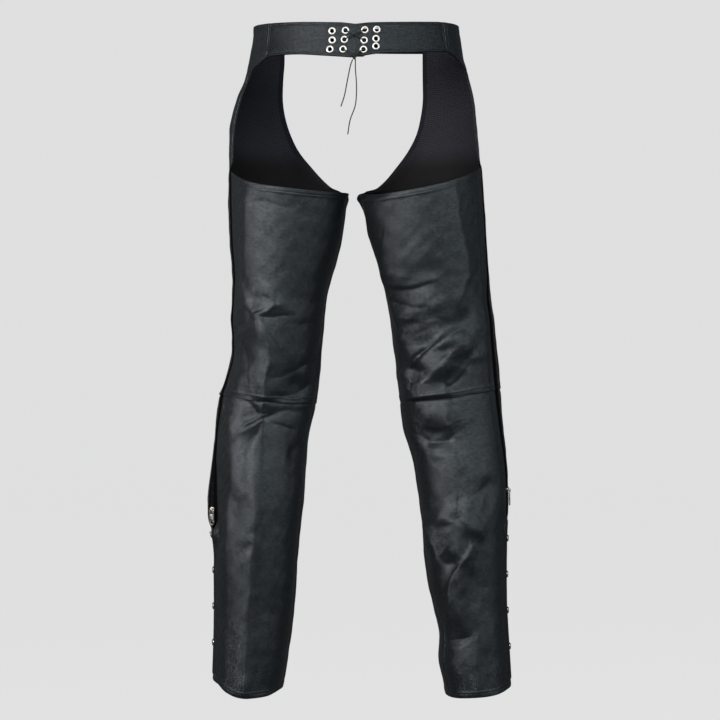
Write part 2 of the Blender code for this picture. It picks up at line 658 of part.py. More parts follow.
def plate(name, outline, holes, thickness, origin, axes, material):
    """A flat plate with holes. Loops are (across, up) pairs; axes are across, outward and up."""
    curve = bpy.data.curves.new(name, "CURVE")
    curve.dimensions = "2D"
    curve.fill_mode = "BOTH"
    curve.extrude = thickness / 2
    for loop in [outline] + holes:
        spline = curve.splines.new("POLY")
        spline.points.add(len(loop) - 1)
        for point, (across, up) in zip(spline.points, loop):
            point.co = (across, up, 0, 1)
        spline.use_cyclic_u = True
    guide = bpy.data.objects.new(name + "_outline", curve)
    shape = bmesh.new()
    shape.from_mesh(guide.to_mesh())
    guide.to_mesh_clear()
    bpy.data.objects.remove(guide)
    bmesh.ops.remove_doubles(shape, verts=shape.verts, dist=0.01)
    across, outward, up = axes
    turn = Matrix([across, up, outward]).transposed()
    return stand(solid(name, shape, material), origin, turn)


def cut_or_join(thing, others, operation):
    """Applies a Boolean of each other object to thing, and removes the others."""
    for other in others:
        modifier = thing.modifiers.new(other.name, "BOOLEAN")
        modifier.operation = operation
        modifier.solver = "EXACT"
        modifier.object = other
    graph = bpy.context.evaluated_depsgraph_get()
    mesh = bpy.data.meshes.new_from_object(thing.evaluated_get(graph))
    thing.modifiers.clear()
    thing.data = mesh
    for other in others:
        bpy.data.objects.remove(other)


def arc(centre, radius, start, stop, count):
    """Points of an arc between two angles in degrees, both ends included."""
    angles = np.radians(np.linspace(start, stop, count))
    return [(centre[0] + radius * math.cos(a), centre[1] + radius * math.sin(a)) for a in angles]


# ---------------------------------------------------------------------------------------------
# Leg panels, facing and lining
# ---------------------------------------------------------------------------------------------

def build_leg_panels(leg, grids, looks):
    for name in ("front_thigh", "front_shin", "back_thigh", "back_calf"):
        wall(f"{name}_{leg.side}", getattr(grids, name), 0.0, LEATHER, looks["leather"])


def build_lining(leg, grids, looks):
    """The mesh lining, and the facing strip that covers the front panel's crotch edge inside."""
    behind = -(LEATHER + SEAM_GAP)
    first_row = 1
    facing = grids.front_thigh.cut(slice(first_row, grids.hip_rows), slice(0, 2))
    wall(f"crotch_facing_{leg.side}", facing, behind, FACING_WALL, looks["facing"])
    lining = grids.front_thigh.cut(slice(first_row, grids.hip_rows + LINED_THIGH_ROWS),
                                   slice(1, None))
    gap = unit(lining.points[:, 1] - lining.points[:, 0]) * SEAM_GAP
    lining.points = lining.points.copy()
    lining.points[:, 0] += gap
    wall(f"thigh_lining_{leg.side}", lining, behind, LINING, looks["lining"])


# ---------------------------------------------------------------------------------------------
# Zip, placket and snaps
# ---------------------------------------------------------------------------------------------

SLIDER_WIDTH, SLIDER_LENGTH, SLIDER_PLATE = 9.0, 11.0, 1.6
BAIL_WIDTH, BAIL_REACH, BAIL_RISE, BAIL_WALL = 2.2, 7.0, 3.4, 1.0
PULL_WIDTH, PULL_LENGTH, PULL_THICK = 8.6, 25.0, 1.2
PULL_WINDOW_WIDTH, PULL_WINDOW_HEIGHT = 4.2, 5.4    # the bail passes through the window
PULL_BAR = 1.5            # height of the bar above the window
PULL_HOLE = 1.9           # radius of the hole near the tip
PULL_AXIS_RISE = 1.2      # the pull turns this far above the slider's plate


def build_zip_tape(leg, grids, looks):
    front, front_normal, back, back_normal = grids.zip_edges()
    width = np.linalg.norm(back - front, axis=-1)
    across = unit(back - front)
    along = np.gradient((front + back) / 2, axis=0)
    normal = unit(np.cross(across, along) * leg.sign)
    # A panel that turns across the tape at its edge pushes the tape's edge back by its wall.
    from_front = np.maximum(0, -(front_normal * across).sum(-1)) * LEATHER + SEAM_GAP
    from_back = np.maximum(0, (back_normal * across).sum(-1)) * LEATHER + SEAM_GAP
    chain = ZIP_CHAIN / width / 2
    shares = np.stack([from_front / width, 0.5 - chain, 0.5 - chain * 0.7, 0.5 + chain * 0.7,
                       0.5 + chain, 1 - from_back / width], -1)[..., None]
    points = front[:, None] * (1 - shares) + back[:, None] * shares
    normals = np.repeat(normal[:, None], shares.shape[1], 1)
    height = np.array([0, 0, ZIP_CHAIN_RISE, ZIP_CHAIN_RISE, 0, 0]) - SEAM_GAP
    wall(f"zip_tape_{leg.side}", Grid(points, normals), height, ZIP_TAPE_WALL, looks["tape"])


def zip_frame(leg, grids):
    """Middle of the chain at the slider, and the directions across, outward and up there."""
    front, _, back, _ = grids.zip_edges()
    middle = (front + back) / 2
    level = SLIDER_LEVEL[leg.side]
    row = int(np.argmax(middle[:, 2] < level))
    above, below = Vector(middle[row - 1]), Vector(middle[row])
    run = (above - below).length
    share = np.clip((above.z - level) / (above.z - below.z), SLIDER_LENGTH / 2 / run,
                    1 - SLIDER_LENGTH / 2 / run)
    up = (above - below) / run
    chord = Vector((front - back)[row - 1] + (front - back)[row]) * leg.sign
    outward = chord.cross(up).normalized()
    across = up.cross(outward)
    origin = above.lerp(below, share) + outward * (ZIP_CHAIN_RISE - SEAM_GAP)
    return origin, across, outward, up


def build_slider_and_pull(leg, grids, looks):
    """The slider's top plate with its bail, and the pull tab hanging from it."""
    side = leg.side
    origin, across, outward, up = zip_frame(leg, grids)
    axes = (across, outward, up)
    half_width, half_length = SLIDER_WIDTH / 2, SLIDER_LENGTH / 2
    outline = ([(-half_width * 0.7, -half_length), (half_width * 0.7, -half_length)]
               + arc((0, half_length - half_width), half_width, 0, 180, 7))
    body = plate(f"zip_slider_{side}", outline, [], SLIDER_PLATE,
                 origin + outward * (SEAM_GAP + SLIDER_PLATE / 2), axes, looks["nickel"])

    sunk = 0.2
    reach, rise, under = BAIL_REACH / 2, BAIL_RISE + sunk, BAIL_RISE + sunk - BAIL_WALL
    chamfer = 0.8
    profile = [(-reach, 0), (-reach, rise - chamfer), (-reach + chamfer, rise),
               (reach - chamfer, rise), (reach, rise - chamfer), (reach, 0),
               (reach - BAIL_WALL, 0), (reach - BAIL_WALL, under), (-reach + BAIL_WALL, under),
               (-reach + BAIL_WALL, 0)]
    foot = origin + outward * (SEAM_GAP + SLIDER_PLATE - sunk)
    bail = plate("bail", profile, [], BAIL_WIDTH, foot, (up, across, outward), looks["nickel"])
    cut_or_join(body, [bail], "UNION")

    axis = origin + outward * (SEAM_GAP + SLIDER_PLATE + PULL_AXIS_RISE)
    half, low = PULL_WIDTH / 2, -(PULL_LENGTH - PULL_BAR / 2)
    window_top, window_side = -PULL_BAR / 2, PULL_WINDOW_WIDTH / 2
    window = [(-window_side, window_top), (window_side, window_top),
              (window_side, window_top - PULL_WINDOW_HEIGHT),
              (-window_side, window_top - PULL_WINDOW_HEIGHT)]
    outline = [(half, PULL_BAR / 2), (-half, PULL_BAR / 2)] + arc((0, low + half), half, 180, 360, 9)
    hole = arc((0, low + half + 0.2), PULL_HOLE, 0, 315, 8)
    plate(f"zip_pull_{side}", outline, [window, hole], PULL_THICK, axis, axes, looks["nickel"])


def build_placket(leg, grids, looks):
    """The flap that carries the snaps, on the front panel's edge below the zip."""
    side = leg.side
    strip = grids.front_shin.cut(slice(grids.zip_row + 1, grids.placket_row + 1), slice(-3, None))
    height = SEAM_GAP + PLACKET_WALL
    wall(f"snap_placket_{side}", strip, height, PLACKET_WALL, looks["leather"])
    middle, normals = strip.points[::-1, 1], strip.normals[::-1, 1]
    for number in range(4):
        level = SNAP_TOP[side] - number * SNAP_PITCH
        seat = [np.interp(level, middle[:, 2], middle[:, k]) for k in range(3)]
        normal = Vector([np.interp(level, middle[:, 2], normals[:, k]) for k in range(3)])
        normal.normalize()
        turned(f"snap_{side}_{number + 1}", Vector(seat) + normal * (height + SNAP_SEAT), normal,
               [(0, 0), (SNAP_CAP / 2, 0), (SNAP_CAP / 2, 0.6), (SNAP_CAP * 0.35, SNAP_RISE),
                (0, SNAP_RISE)], 8, looks["nickel"])


# ---------------------------------------------------------------------------------------------
# Waistband, belt and lace
# ---------------------------------------------------------------------------------------------

BAND_PROUD = 0.6          # the waistband's outer face stands this far off the hip piece's
CENTRE_BACK = 90.0
CENTRE_FRONT = -90.0


def level_angle(angle):
    """An edge line that keeps one angle at every level."""
    return lambda level: np.zeros_like(level) + angle


def build_back_band(leg, looks):
    side = leg.side
    shares = np.append(np.linspace(0, 0.9, 10), [0.95, 1])
    columns = [Column(share, 0) for share in shares]
    columns[0], columns[-1] = Column(0, SEAM_GAP / 2), Column(1, -SEAM_GAP)
    grid = zone(leg, leg.hip_edge, level_angle(CENTRE_BACK), columns, leg.waist, leg.band_low,
                BAND_ROWS)
    band = wall(f"back_band_{side}", grid, BAND_PROUD, BAND_LEATHER, looks["leather"])
    hole = EYELET_BARREL / 2 + SEAM_GAP
    drills = []
    for column, eyelets in EYELETS[side].items():
        for number, eyelet in enumerate(eyelets):
            seat, outward = eyelet_seat(leg, eyelet)
            drills.append(turned("drill", seat, outward, [(0, -8), (hole, -8), (hole, 8), (0, 8)],
                                 8, looks["nickel"]))
            build_eyelet(f"eyelet_{side}_{column}_{number + 1}", seat, outward, looks)
    cut_or_join(band, drills, "DIFFERENCE")


def eyelet_seat(leg, eyelet):
    """Centre of an eyelet on the band's outer face, and the outward direction there."""
    level = np.array([eyelet.level])
    point, normal = leg.surface(leg.angle_at(np.array([eyelet.out]), level), level)
    outward = Vector(normal[0])
    return Vector(point[0]) + outward * BAND_PROUD, outward


def build_eyelet(name, seat, outward, looks):
    """A ring flange on each face of the band, joined by the barrel through the hole."""
    bore, barrel, flange = EYELET_HOLE / 2, EYELET_BARREL / 2, EYELET_OUTER / 2
    front, back = SEAM_GAP, -(BAND_LEATHER + SEAM_GAP)
    profile = [(bore, back - EYELET_FLANGE), (flange * 0.9, back), (barrel, back),
               (barrel, front), (flange, front), (bore * 1.2, front + EYELET_FLANGE)]
    turned(name, seat, outward, profile, 8, looks["nickel"])


BELT_LAP_FROM, BELT_LAP_TO = 18.0, 2.0    # the right half climbs onto the left between these
BELT_TIP = 62.0                           # how far past the centre its tip reaches
BELT_END = 4.0                            # the left half stops this far short of the centre
BUCKLE_WIDTH, BUCKLE_HEIGHT, BUCKLE_BAR, BUCKLE_THICK = 34.0, 48.0, 4.0, 3.2
PRONG = 2.0


def build_belt(legs, looks):
    """Both belt halves, each sewn to its front panel, lapped and held by the buckle."""
    def belt_low(leg):
        return lambda angle: leg.waist(angle) - BELT_WIDTH

    def half(leg, start, stop, columns):
        return zone(leg, start, stop, columns, leg.waist, belt_low(leg), BAND_ROWS)

    left, right = legs["left"], legs["right"]
    end = level_angle(-float(left.angle_at(np.array([BELT_END]), np.array([10.0]))[0]))
    shares = np.linspace(0, 1, 8)
    sewn = [Column(share, 0) for share in shares[:-1]] + [Column(1, -SEAM_GAP / 2)]
    wall("front_band_left", half(left, end, left.crotch_edge, sewn), BAND_PROUD, BAND_LEATHER,
         looks["leather"])

    centre = level_angle(CENTRE_FRONT)
    body = half(right, centre, right.crotch_edge, sewn)
    body = Grid(body.points[:, ::-1], body.normals[:, ::-1])
    tip = half(left, centre,
               level_angle(-float(left.angle_at(np.array([BELT_TIP]), np.array([10.0]))[0])),
               [Column(share, 0) for share in np.linspace(0, 1, 5)])
    strap = body.joined(tip, 1)
    lap = smoothstep(BELT_LAP_FROM, BELT_LAP_TO, strap.points[0, :, 0])
    wall("front_band_right", strap, BAND_PROUD + lap * (BAND_LEATHER + SEAM_GAP), BAND_LEATHER,
         looks["leather"])
    build_buckle(left, looks)


def build_buckle(leg, looks):
    """Frame buckle at the centre front with its prong lying across it."""
    lapped = BAND_PROUD + BAND_LEATHER + 3 * SEAM_GAP
    front = float(leg.point(np.array([CENTRE_FRONT]), np.array([10.0]))[0, 1]) + lapped
    level = float(leg.waist(CENTRE_FRONT)) - BELT_WIDTH / 2
    axes = (Vector((-1, 0, 0)), Vector((0, 1, 0)), Vector((0, 0, 1)))

    def rounded(half_width, half_height, radius):
        corners = ((1, 1, 0), (-1, 1, 90), (-1, -1, 180), (1, -1, 270))
        return [point for x, z, start in corners
                for point in arc((x * (half_width - radius), z * (half_height - radius)), radius,
                                 start, start + 90, 3)]

    frame_at = Vector((0, front + BUCKLE_THICK / 2, level))
    window = rounded(BUCKLE_WIDTH / 2 - BUCKLE_BAR, BUCKLE_HEIGHT / 2 - BUCKLE_BAR, 2.0)
    plate("buckle_frame", rounded(BUCKLE_WIDTH / 2, BUCKLE_HEIGHT / 2, 5.0), [window],
          BUCKLE_THICK, frame_at, axes, looks["nickel"])
    reach, rise = BUCKLE_WIDTH / 2 - 1, PRONG * 0.9
    prong = [(-reach, -rise / 2), (reach, -rise), (reach, rise), (-reach, rise / 2)]
    plate("buckle_prong", prong, [], PRONG,
          frame_at + axes[1] * (BUCKLE_THICK / 2 + SEAM_GAP + PRONG / 2), axes, looks["nickel"])


def smooth_route(anchors, spacing):
    """Points a short step apart on a Catmull-Rom curve through the anchors."""
    anchors = [Vector(anchor) for anchor in anchors]
    padded = [anchors[0] * 2 - anchors[1]] + anchors + [anchors[-1] * 2 - anchors[-2]]
    route = []
    for a, b, c, d in zip(padded, padded[1:], padded[2:], padded[3:]):
        steps = max(1, round((c - b).length / spacing))
        for k in range(steps):
            t = k / steps
            route.append((b * 2 + (c - a) * t + (a * 2 - b * 5 + c * 4 - d) * t * t
                          + (b * 3 - a - c * 3 + d) * t ** 3) / 2)
    return route + [anchors[-1]]


def cord(name, route, diameter, material):
    """A round cord along a route, with flat ends."""
    curve = bpy.data.curves.new(name, "CURVE")
    curve.dimensions = "3D"
    curve.bevel_depth = diameter * MM / 2
    curve.bevel_resolution = 2
    curve.use_fill_caps = True
    spline = curve.splines.new("POLY")
    spline.points.add(len(route) - 1)
    for point, place in zip(spline.points, route):
        point.co = (*(place * MM), 1)
    curve.materials.append(material)
    thing = bpy.data.objects.new(name, curve)
    bpy.context.collection.objects.link(thing)
    return thing


LACE_BOW = 0.8            # how far a crossing stretch bows off the straight line
LACE_OVER = 3.2           # and how far where it passes over the other one
KNOT_HALF, KNOT_RISE = 1.6, 3.5      # where both ends of the lace meet the knot, from its middle
KNOT_PROFILE = [(0, 2.6), (1.9, 2.2), (2.7, 0.8), (2.6, -0.9), (1.8, -2.2), (0, -2.6)]
OVER_FLANGE = SEAM_GAP + EYELET_FLANGE + LACE / 2 + SEAM_GAP


def build_lace(legs, looks):
    """The lace through the inner eyelets, its knot under the band and its two free ends."""
    seats = {(side, row): eyelet_seat(leg, eyelet) for side, leg in legs.items()
             for row, eyelet in enumerate(EYELETS[side]["inner"])}

    def outside(side, row):
        seat, outward = seats[side, row]
        return seat + outward * OVER_FLANGE

    def inside(side, row):
        seat, outward = seats[side, row]
        return seat - outward * (BAND_LEATHER + OVER_FLANGE)

    def crossing(a, b, lift):
        return (a + b) / 2 + Vector((0, lift, 0))

    knot = Vector((KNOT_AT.x, -TAIL_DEPTH, KNOT_AT.level))
    above_left = knot + Vector((-KNOT_HALF, 0, KNOT_RISE))
    above_right = knot + Vector((KNOT_HALF, 0, KNOT_RISE))
    anchors = [
        above_left, outside("left", 2), inside("left", 2),
        crossing(inside("left", 2), inside("right", 1), LACE_BOW),
        inside("right", 1), outside("right", 1),
        crossing(outside("right", 1), outside("left", 0), -LACE_BOW),
        outside("left", 0), inside("left", 0),
        crossing(inside("left", 0), inside("right", 0), LACE_BOW),
        inside("right", 0), outside("right", 0),
        crossing(outside("right", 0), outside("left", 1), -LACE_OVER),
        outside("left", 1), inside("left", 1),
        crossing(inside("left", 1), inside("right", 2), LACE_OVER),
        inside("right", 2), outside("right", 2), above_right,
    ]
    cord("lace", smooth_route(anchors, 4.0), LACE, looks["lace"])
    turned("lace_knot", knot, Vector((0, 0, 1)), KNOT_PROFILE, 8, looks["lace"])
    for side in SIDES:
        route = [Vector((hang.x, -TAIL_DEPTH, hang.level)) for hang in LACE_TAIL[side]]
        cord(f"lace_end_{side}", smooth_route(route, 7.0), LACE, looks["lace"])


def main():
    for thing in list(bpy.data.objects):
        bpy.data.objects.remove(thing)
    looks = finishes()
    legs = {side: Leg(side) for side in SIDES}
    for leg in legs.values():
        grids = LegGrids(leg)
        build_leg_panels(leg, grids, looks)
        build_lining(leg, grids, looks)
        build_zip_tape(leg, grids, looks)
        build_slider_and_pull(leg, grids, looks)
        build_placket(leg, grids, looks)
        build_back_band(leg, looks)
    build_belt(legs, looks)
    build_lace(legs, looks)


main()
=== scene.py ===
"""Leather motorcycle chaps, dressed for rendering.

The frame gives every cut piece as a plain wall. Each wall is read back here as rows and columns of
points, drawn again as a fine smooth shell, and given its turned edges, topstitching and creases.
The zips, snaps, eyelets, buckle and lace are made again at their real detail in the same places.

Frame: metres, +Z up, the wearer faces +Y, and the open, laced back faces -Y. Lengths in the sizes
below are millimetres unless they say otherwise.
"""

import json
import logging
import math
from collections.abc import Iterable, Sequence
from dataclasses import dataclass, field
from enum import Enum

import bmesh
import bpy
import numpy as np
from bpy.types import ID, Material, Mesh, Node, NodeSocket, NodeTree, Object
from mathutils import Matrix, Vector

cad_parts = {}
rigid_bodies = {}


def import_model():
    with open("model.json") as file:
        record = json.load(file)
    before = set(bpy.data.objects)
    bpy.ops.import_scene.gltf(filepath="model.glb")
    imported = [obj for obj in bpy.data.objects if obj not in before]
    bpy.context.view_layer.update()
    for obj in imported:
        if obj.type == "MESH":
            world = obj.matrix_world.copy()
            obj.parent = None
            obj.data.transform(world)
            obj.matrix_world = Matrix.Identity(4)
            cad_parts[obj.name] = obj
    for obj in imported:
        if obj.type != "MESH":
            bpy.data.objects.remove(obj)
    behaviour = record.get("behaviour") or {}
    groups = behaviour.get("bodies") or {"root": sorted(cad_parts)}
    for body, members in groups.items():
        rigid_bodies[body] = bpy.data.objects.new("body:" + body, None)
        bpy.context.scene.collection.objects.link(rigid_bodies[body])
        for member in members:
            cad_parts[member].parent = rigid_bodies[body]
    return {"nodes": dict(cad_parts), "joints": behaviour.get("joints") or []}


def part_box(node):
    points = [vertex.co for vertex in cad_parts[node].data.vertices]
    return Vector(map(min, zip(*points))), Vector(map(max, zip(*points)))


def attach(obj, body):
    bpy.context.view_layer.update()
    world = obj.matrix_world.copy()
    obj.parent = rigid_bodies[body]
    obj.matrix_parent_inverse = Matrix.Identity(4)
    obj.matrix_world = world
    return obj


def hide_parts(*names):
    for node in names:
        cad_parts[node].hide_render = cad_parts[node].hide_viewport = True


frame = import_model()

LOG = logging.getLogger("chaps")
MM = 0.001
LEG_MIDDLE = 145.0             # each leg's middle stands this far out
WAIST_OVAL = 0.7               # the waist's depth for its width
HOLE_CLEAR = 5.2               # a belt's points this near an eyelet's middle are its hole's rim
CHAPS = "chaps"
Pair = tuple[float, float]


class Side(Enum):
    """The wearer's left leg lies at -X and the right one at +X."""

    LEFT = "left"
    RIGHT = "right"

    @property
    def sign(self) -> int:
        """-1 on the left and 1 on the right."""
        return -1 if self is Side.LEFT else 1


class Edge(Enum):
    """How one edge of a cut piece is finished."""

    PLAIN = "plain"      # left as cut
    TUCKED = "tucked"    # runs on under its neighbour
    SEAMED = "seamed"    # sewn to its neighbour face to face, and rolls in at the seam
    LAPPED = "lapped"    # lies over its neighbour and is topstitched
    TURNED = "turned"    # folded under and topstitched


# ---- Colour and nodes ----

def linear(code: str) -> tuple[float, float, float, float]:
    """Turns an sRGB hex colour to linear RGBA.

    Args:
        code: the colour as "#rrggbb".

    Returns:
        The linear colour with alpha 1.
    """
    parts = [int(code[i:i + 2], 16) / 255 for i in (1, 3, 5)]
    return (*[p / 12.92 if p <= 0.04045 else ((p + 0.055) / 1.055) ** 2.4 for p in parts], 1.0)


def wire(node: Node, inputs: dict) -> None:
    """Sets or links a node's inputs.

    Args:
        node: the node.
        inputs: by socket name or number, a constant, the socket it comes from, or the node whose
            first output it is.
    """
    for key, value in inputs.items():
        if isinstance(value, Node):
            value = value.outputs[0]
        if isinstance(value, NodeSocket):
            node.id_data.links.new(value, node.inputs[key])
        else:
            node.inputs[key].default_value = value


def add(tree: NodeTree, kind: str, inputs: dict | None = None, **settings) -> Node:
    """Adds a node to a tree.

    Args:
        tree: the node tree.
        kind: the node's type name, such as "ShaderNodeTexNoise".
        inputs: what wire() sets or links.
        settings: the node's own properties.

    Returns:
        The new node.
    """
    made = tree.nodes.new(kind)
    for name, value in settings.items():
        setattr(made, name, value)
    wire(made, inputs or {})
    return made


def new_material(name: str) -> tuple[Material, NodeTree, Node]:
    """Makes a material and hands back its tree and its Principled shader."""
    material = bpy.data.materials.new(name)
    material.use_nodes = True
    tree = material.node_tree
    return material, tree, tree.nodes["Principled BSDF"]


def per_metre(length_mm: float) -> float:
    """Texture scale at which one cell of a pattern is the given number of millimetres across."""
    return 1 / (length_mm * MM)


# ---- Finishes ----

@dataclass(frozen=True)
class Leather:
    """Chrome-tanned cowhide, drum-dyed black, with a light wax finish over its natural grain.

    The wax gives a broad cool sheen, which breaks up where the grain is open and dulls in the
    creases.
    """

    name: str
    colour: str = "#111415"
    worn: str = "#1f2325"
    flesh: str = "#070708"      # the napped back of the hide
    sheen: str = "#e2f2fb"      # the wax reflects a little coolly
    grain: float = 3.4
    pore: float = 1.3
    pebble: float = 9.0
    mottle: float = 6.0
    rough: Pair = (0.28, 0.38)
    gloss: Pair = (0.4, 0.6)
    depth: float = 0.1

    def build(self) -> Material:
        """Builds the material."""
        material, tree, shader = new_material(self.name)
        place = add(tree, "ShaderNodeTexCoord").outputs["Object"]
        stretched = add(tree, "ShaderNodeMapping", {"Vector": place, "Scale": (1, 1, 1.7)})
        mottle = add(tree, "ShaderNodeTexNoise", {
            "Vector": stretched, "Scale": per_metre(self.mottle), "Detail": 4.0, "Roughness": 0.65})
        wander = add(tree, "ShaderNodeTexNoise", {
            "Vector": place, "Scale": per_metre(self.grain * 2.5), "Detail": 2.0})
        bent = add(tree, "ShaderNodeMix", {
            "Factor": 0.12, 4: place, 5: wander.outputs["Color"]}, data_type="VECTOR")
        cells = add(tree, "ShaderNodeTexVoronoi", {
            "Vector": bent.outputs[1], "Scale": per_metre(self.grain), "Randomness": 1.0},
            feature="DISTANCE_TO_EDGE")
        valley = add(tree, "ShaderNodeMapRange", {
            "Value": cells, "From Max": 0.22}, interpolation_type="SMOOTHSTEP")
        pores = add(tree, "ShaderNodeTexNoise", {
            "Vector": place, "Scale": per_metre(self.pore), "Detail": 2.0})
        wrinkle = add(tree, "ShaderNodeTexNoise", {
            "Vector": stretched, "Scale": per_metre(self.pebble), "Detail": 4.0, "Roughness": 0.72})
        first = add(tree, "ShaderNodeBump", {
            "Height": wrinkle, "Strength": 0.34, "Distance": 0.6 * MM})
        second = add(tree, "ShaderNodeBump", {
            "Height": valley, "Strength": 0.55, "Distance": self.depth * MM, "Normal": first})
        third = add(tree, "ShaderNodeBump", {
            "Height": pores, "Strength": 0.35, "Distance": self.depth * MM, "Normal": second})
        wear = add(tree, "ShaderNodeAttribute", attribute_name="wear")
        flesh = add(tree, "ShaderNodeAttribute", attribute_name="flesh")
        patch = add(tree, "ShaderNodeMapRange", {
            "Value": mottle, "From Min": 0.35, "From Max": 0.7, "To Min": 0.0, "To Max": 0.45})
        rubbed = add(tree, "ShaderNodeMath", {
            0: patch, 1: wear.outputs["Fac"]}, operation="ADD", use_clamp=True)
        colour = add(tree, "ShaderNodeMix", {
            "Factor": rubbed, 6: linear(self.colour), 7: linear(self.worn)}, data_type="RGBA")
        rough = add(tree, "ShaderNodeMapRange", {
            "Value": mottle, "From Min": 0.3, "From Max": 0.7, "To Min": self.rough[1],
            "To Max": self.rough[0]})
        sides = add(tree, "ShaderNodeMix", {
            "Factor": flesh.outputs["Fac"], 6: colour.outputs[2], 7: linear(self.flesh)},
            data_type="RGBA")
        napped = add(tree, "ShaderNodeMix", {"Factor": flesh.outputs["Fac"], 2: rough, 3: 0.95})
        waxed = add(tree, "ShaderNodeMapRange", {
            "Value": mottle, "From Min": 0.35, "From Max": 0.65, "To Min": self.gloss[0],
            "To Max": self.gloss[1]})
        shine = add(tree, "ShaderNodeMix", {"Factor": flesh.outputs["Fac"], 2: waxed, 3: 0.05})
        wire(shader, {"Base Color": sides.outputs[2], "Roughness": napped,
                      "Specular IOR Level": shine, "Specular Tint": linear(self.sheen),
                      "Normal": third})
        return material


@dataclass(frozen=True)
class MeshLining:
    """Black polyester warp-knit mesh, matt, with rows of small holes set like brickwork."""

    name: str = "polyester_mesh_lining"
    thread: str = "#282a33"
    hole: str = "#020203"
    pitch: float = 3.8
    shade: Pair = (-0.200, -0.160)   # painted shade: its colour darkens down into the leg between these heights, m

    def build(self) -> Material:
        """Builds the material. Its UV map is in metres over the cloth."""
        material, tree, shader = new_material(self.name)
        place = add(tree, "ShaderNodeUVMap").outputs["UV"]
        rows = add(tree, "ShaderNodeMapping", {
            "Vector": place, "Scale": (per_metre(self.pitch), per_metre(self.pitch * 0.8), 1)})
        holes = add(tree, "ShaderNodeTexVoronoi", {
            "Vector": rows, "Scale": 1.0, "Randomness": 0.12}, voronoi_dimensions="2D")
        open_part = add(tree, "ShaderNodeMapRange", {
            "Value": holes, "From Min": 0.22, "From Max": 0.42}, interpolation_type="SMOOTHSTEP")
        shade = add(tree, "ShaderNodeMix", {
            "Factor": open_part, 6: linear(self.hole), 7: linear(self.thread)}, data_type="RGBA")
        bump = add(tree, "ShaderNodeBump", {
            "Height": open_part, "Strength": 0.7, "Distance": 0.4 * MM})
        # Painted shade: lower down, the mesh's colour fades towards the holes' black for the shade
        # inside the leg.
        level = add(tree, "ShaderNodeSeparateXYZ", {
            "Vector": add(tree, "ShaderNodeTexCoord").outputs["Object"]})
        depth = add(tree, "ShaderNodeMapRange", {
            "Value": level.outputs["Z"], "From Min": self.shade[0], "From Max": self.shade[1],
            "To Min": 0.05, "To Max": 1.0}, interpolation_type="SMOOTHSTEP")
        painted_shade_colour = add(tree, "ShaderNodeMix", {
            "Factor": depth, 6: linear(self.hole), 7: shade.outputs[2]}, data_type="RGBA")
        wire(shader, {"Base Color": painted_shade_colour.outputs[2], "Normal": bump, "Roughness": 0.8,
                      "Specular IOR Level": 0.3})
        return material


@dataclass(frozen=True)
class WovenTape:
    """Polyester zip tape, woven in fine ribs along its length, dyed black and quite matt."""

    name: str = "woven_zip_tape"
    colour: str = "#060607"
    rib: float = 1.1

    def build(self) -> Material:
        """Builds the material. Its UV map is in metres across and along the tape."""
        material, tree, shader = new_material(self.name)
        place = add(tree, "ShaderNodeUVMap").outputs["UV"]
        ribs = add(tree, "ShaderNodeTexWave", {
            "Vector": place, "Scale": per_metre(self.rib) / 20, "Distortion": 0.4},
            bands_direction="X")
        weft = add(tree, "ShaderNodeTexWave", {
            "Vector": place, "Scale": per_metre(self.rib * 0.8) / 20, "Distortion": 0.3},
            bands_direction="Y")
        weave = add(tree, "ShaderNodeMath", {
            0: ribs.outputs["Fac"], 1: weft.outputs["Fac"]}, operation="MULTIPLY")
        bump = add(tree, "ShaderNodeBump", {"Height": weave, "Strength": 0.6, "Distance": 0.3 * MM})
        wire(shader, {"Normal": bump, "Base Color": linear(self.colour), "Roughness": 0.95,
                      "Specular IOR Level": 0.06})
        return material


@dataclass(frozen=True)
class Plating:
    """Nickel plate over brass or steel: bright and warm-grey, with fine handling marks."""

    name: str
    colour: str = "#c9c6bf"
    rough: Pair = (0.16, 0.34)

    def build(self) -> Material:
        """Builds the material."""
        material, tree, shader = new_material(self.name)
        place = add(tree, "ShaderNodeTexCoord").outputs["Object"]
        haze = add(tree, "ShaderNodeTexNoise", {
            "Vector": place, "Scale": per_metre(3.0), "Detail": 6.0, "Roughness": 0.7})
        marks = add(tree, "ShaderNodeMapping", {"Vector": place, "Scale": (1, 1, 9)})
        scuffs = add(tree, "ShaderNodeTexNoise", {
            "Vector": marks, "Scale": per_metre(1.2), "Detail": 3.0})
        rough = add(tree, "ShaderNodeMapRange", {
            "Value": haze, "From Min": 0.35, "From Max": 0.7, "To Min": self.rough[0],
            "To Max": self.rough[1]})
        bump = add(tree, "ShaderNodeBump", {
            "Height": scuffs, "Strength": 0.25, "Distance": 0.03 * MM})
        wire(shader, {"Roughness": rough, "Normal": bump, "Base Color": linear(self.colour),
                      "Metallic": 1.0})
        return material


@dataclass(frozen=True)
class MouldedTeeth:
    """Acetal zip teeth, moulded in black and nearly matt."""

    name: str = "acetal_zip_teeth"
    colour: str = "#08080a"

    def build(self) -> Material:
        """Builds the material."""
        material, tree, shader = new_material(self.name)
        place = add(tree, "ShaderNodeTexCoord").outputs["Object"]
        haze = add(tree, "ShaderNodeTexNoise", {"Vector": place, "Scale": per_metre(1.5)})
        rough = add(tree, "ShaderNodeMapRange", {"Value": haze, "To Min": 0.5, "To Max": 0.7})
        wire(shader, {"Roughness": rough, "Base Color": linear(self.colour),
                      "Specular IOR Level": 0.2})
        return material


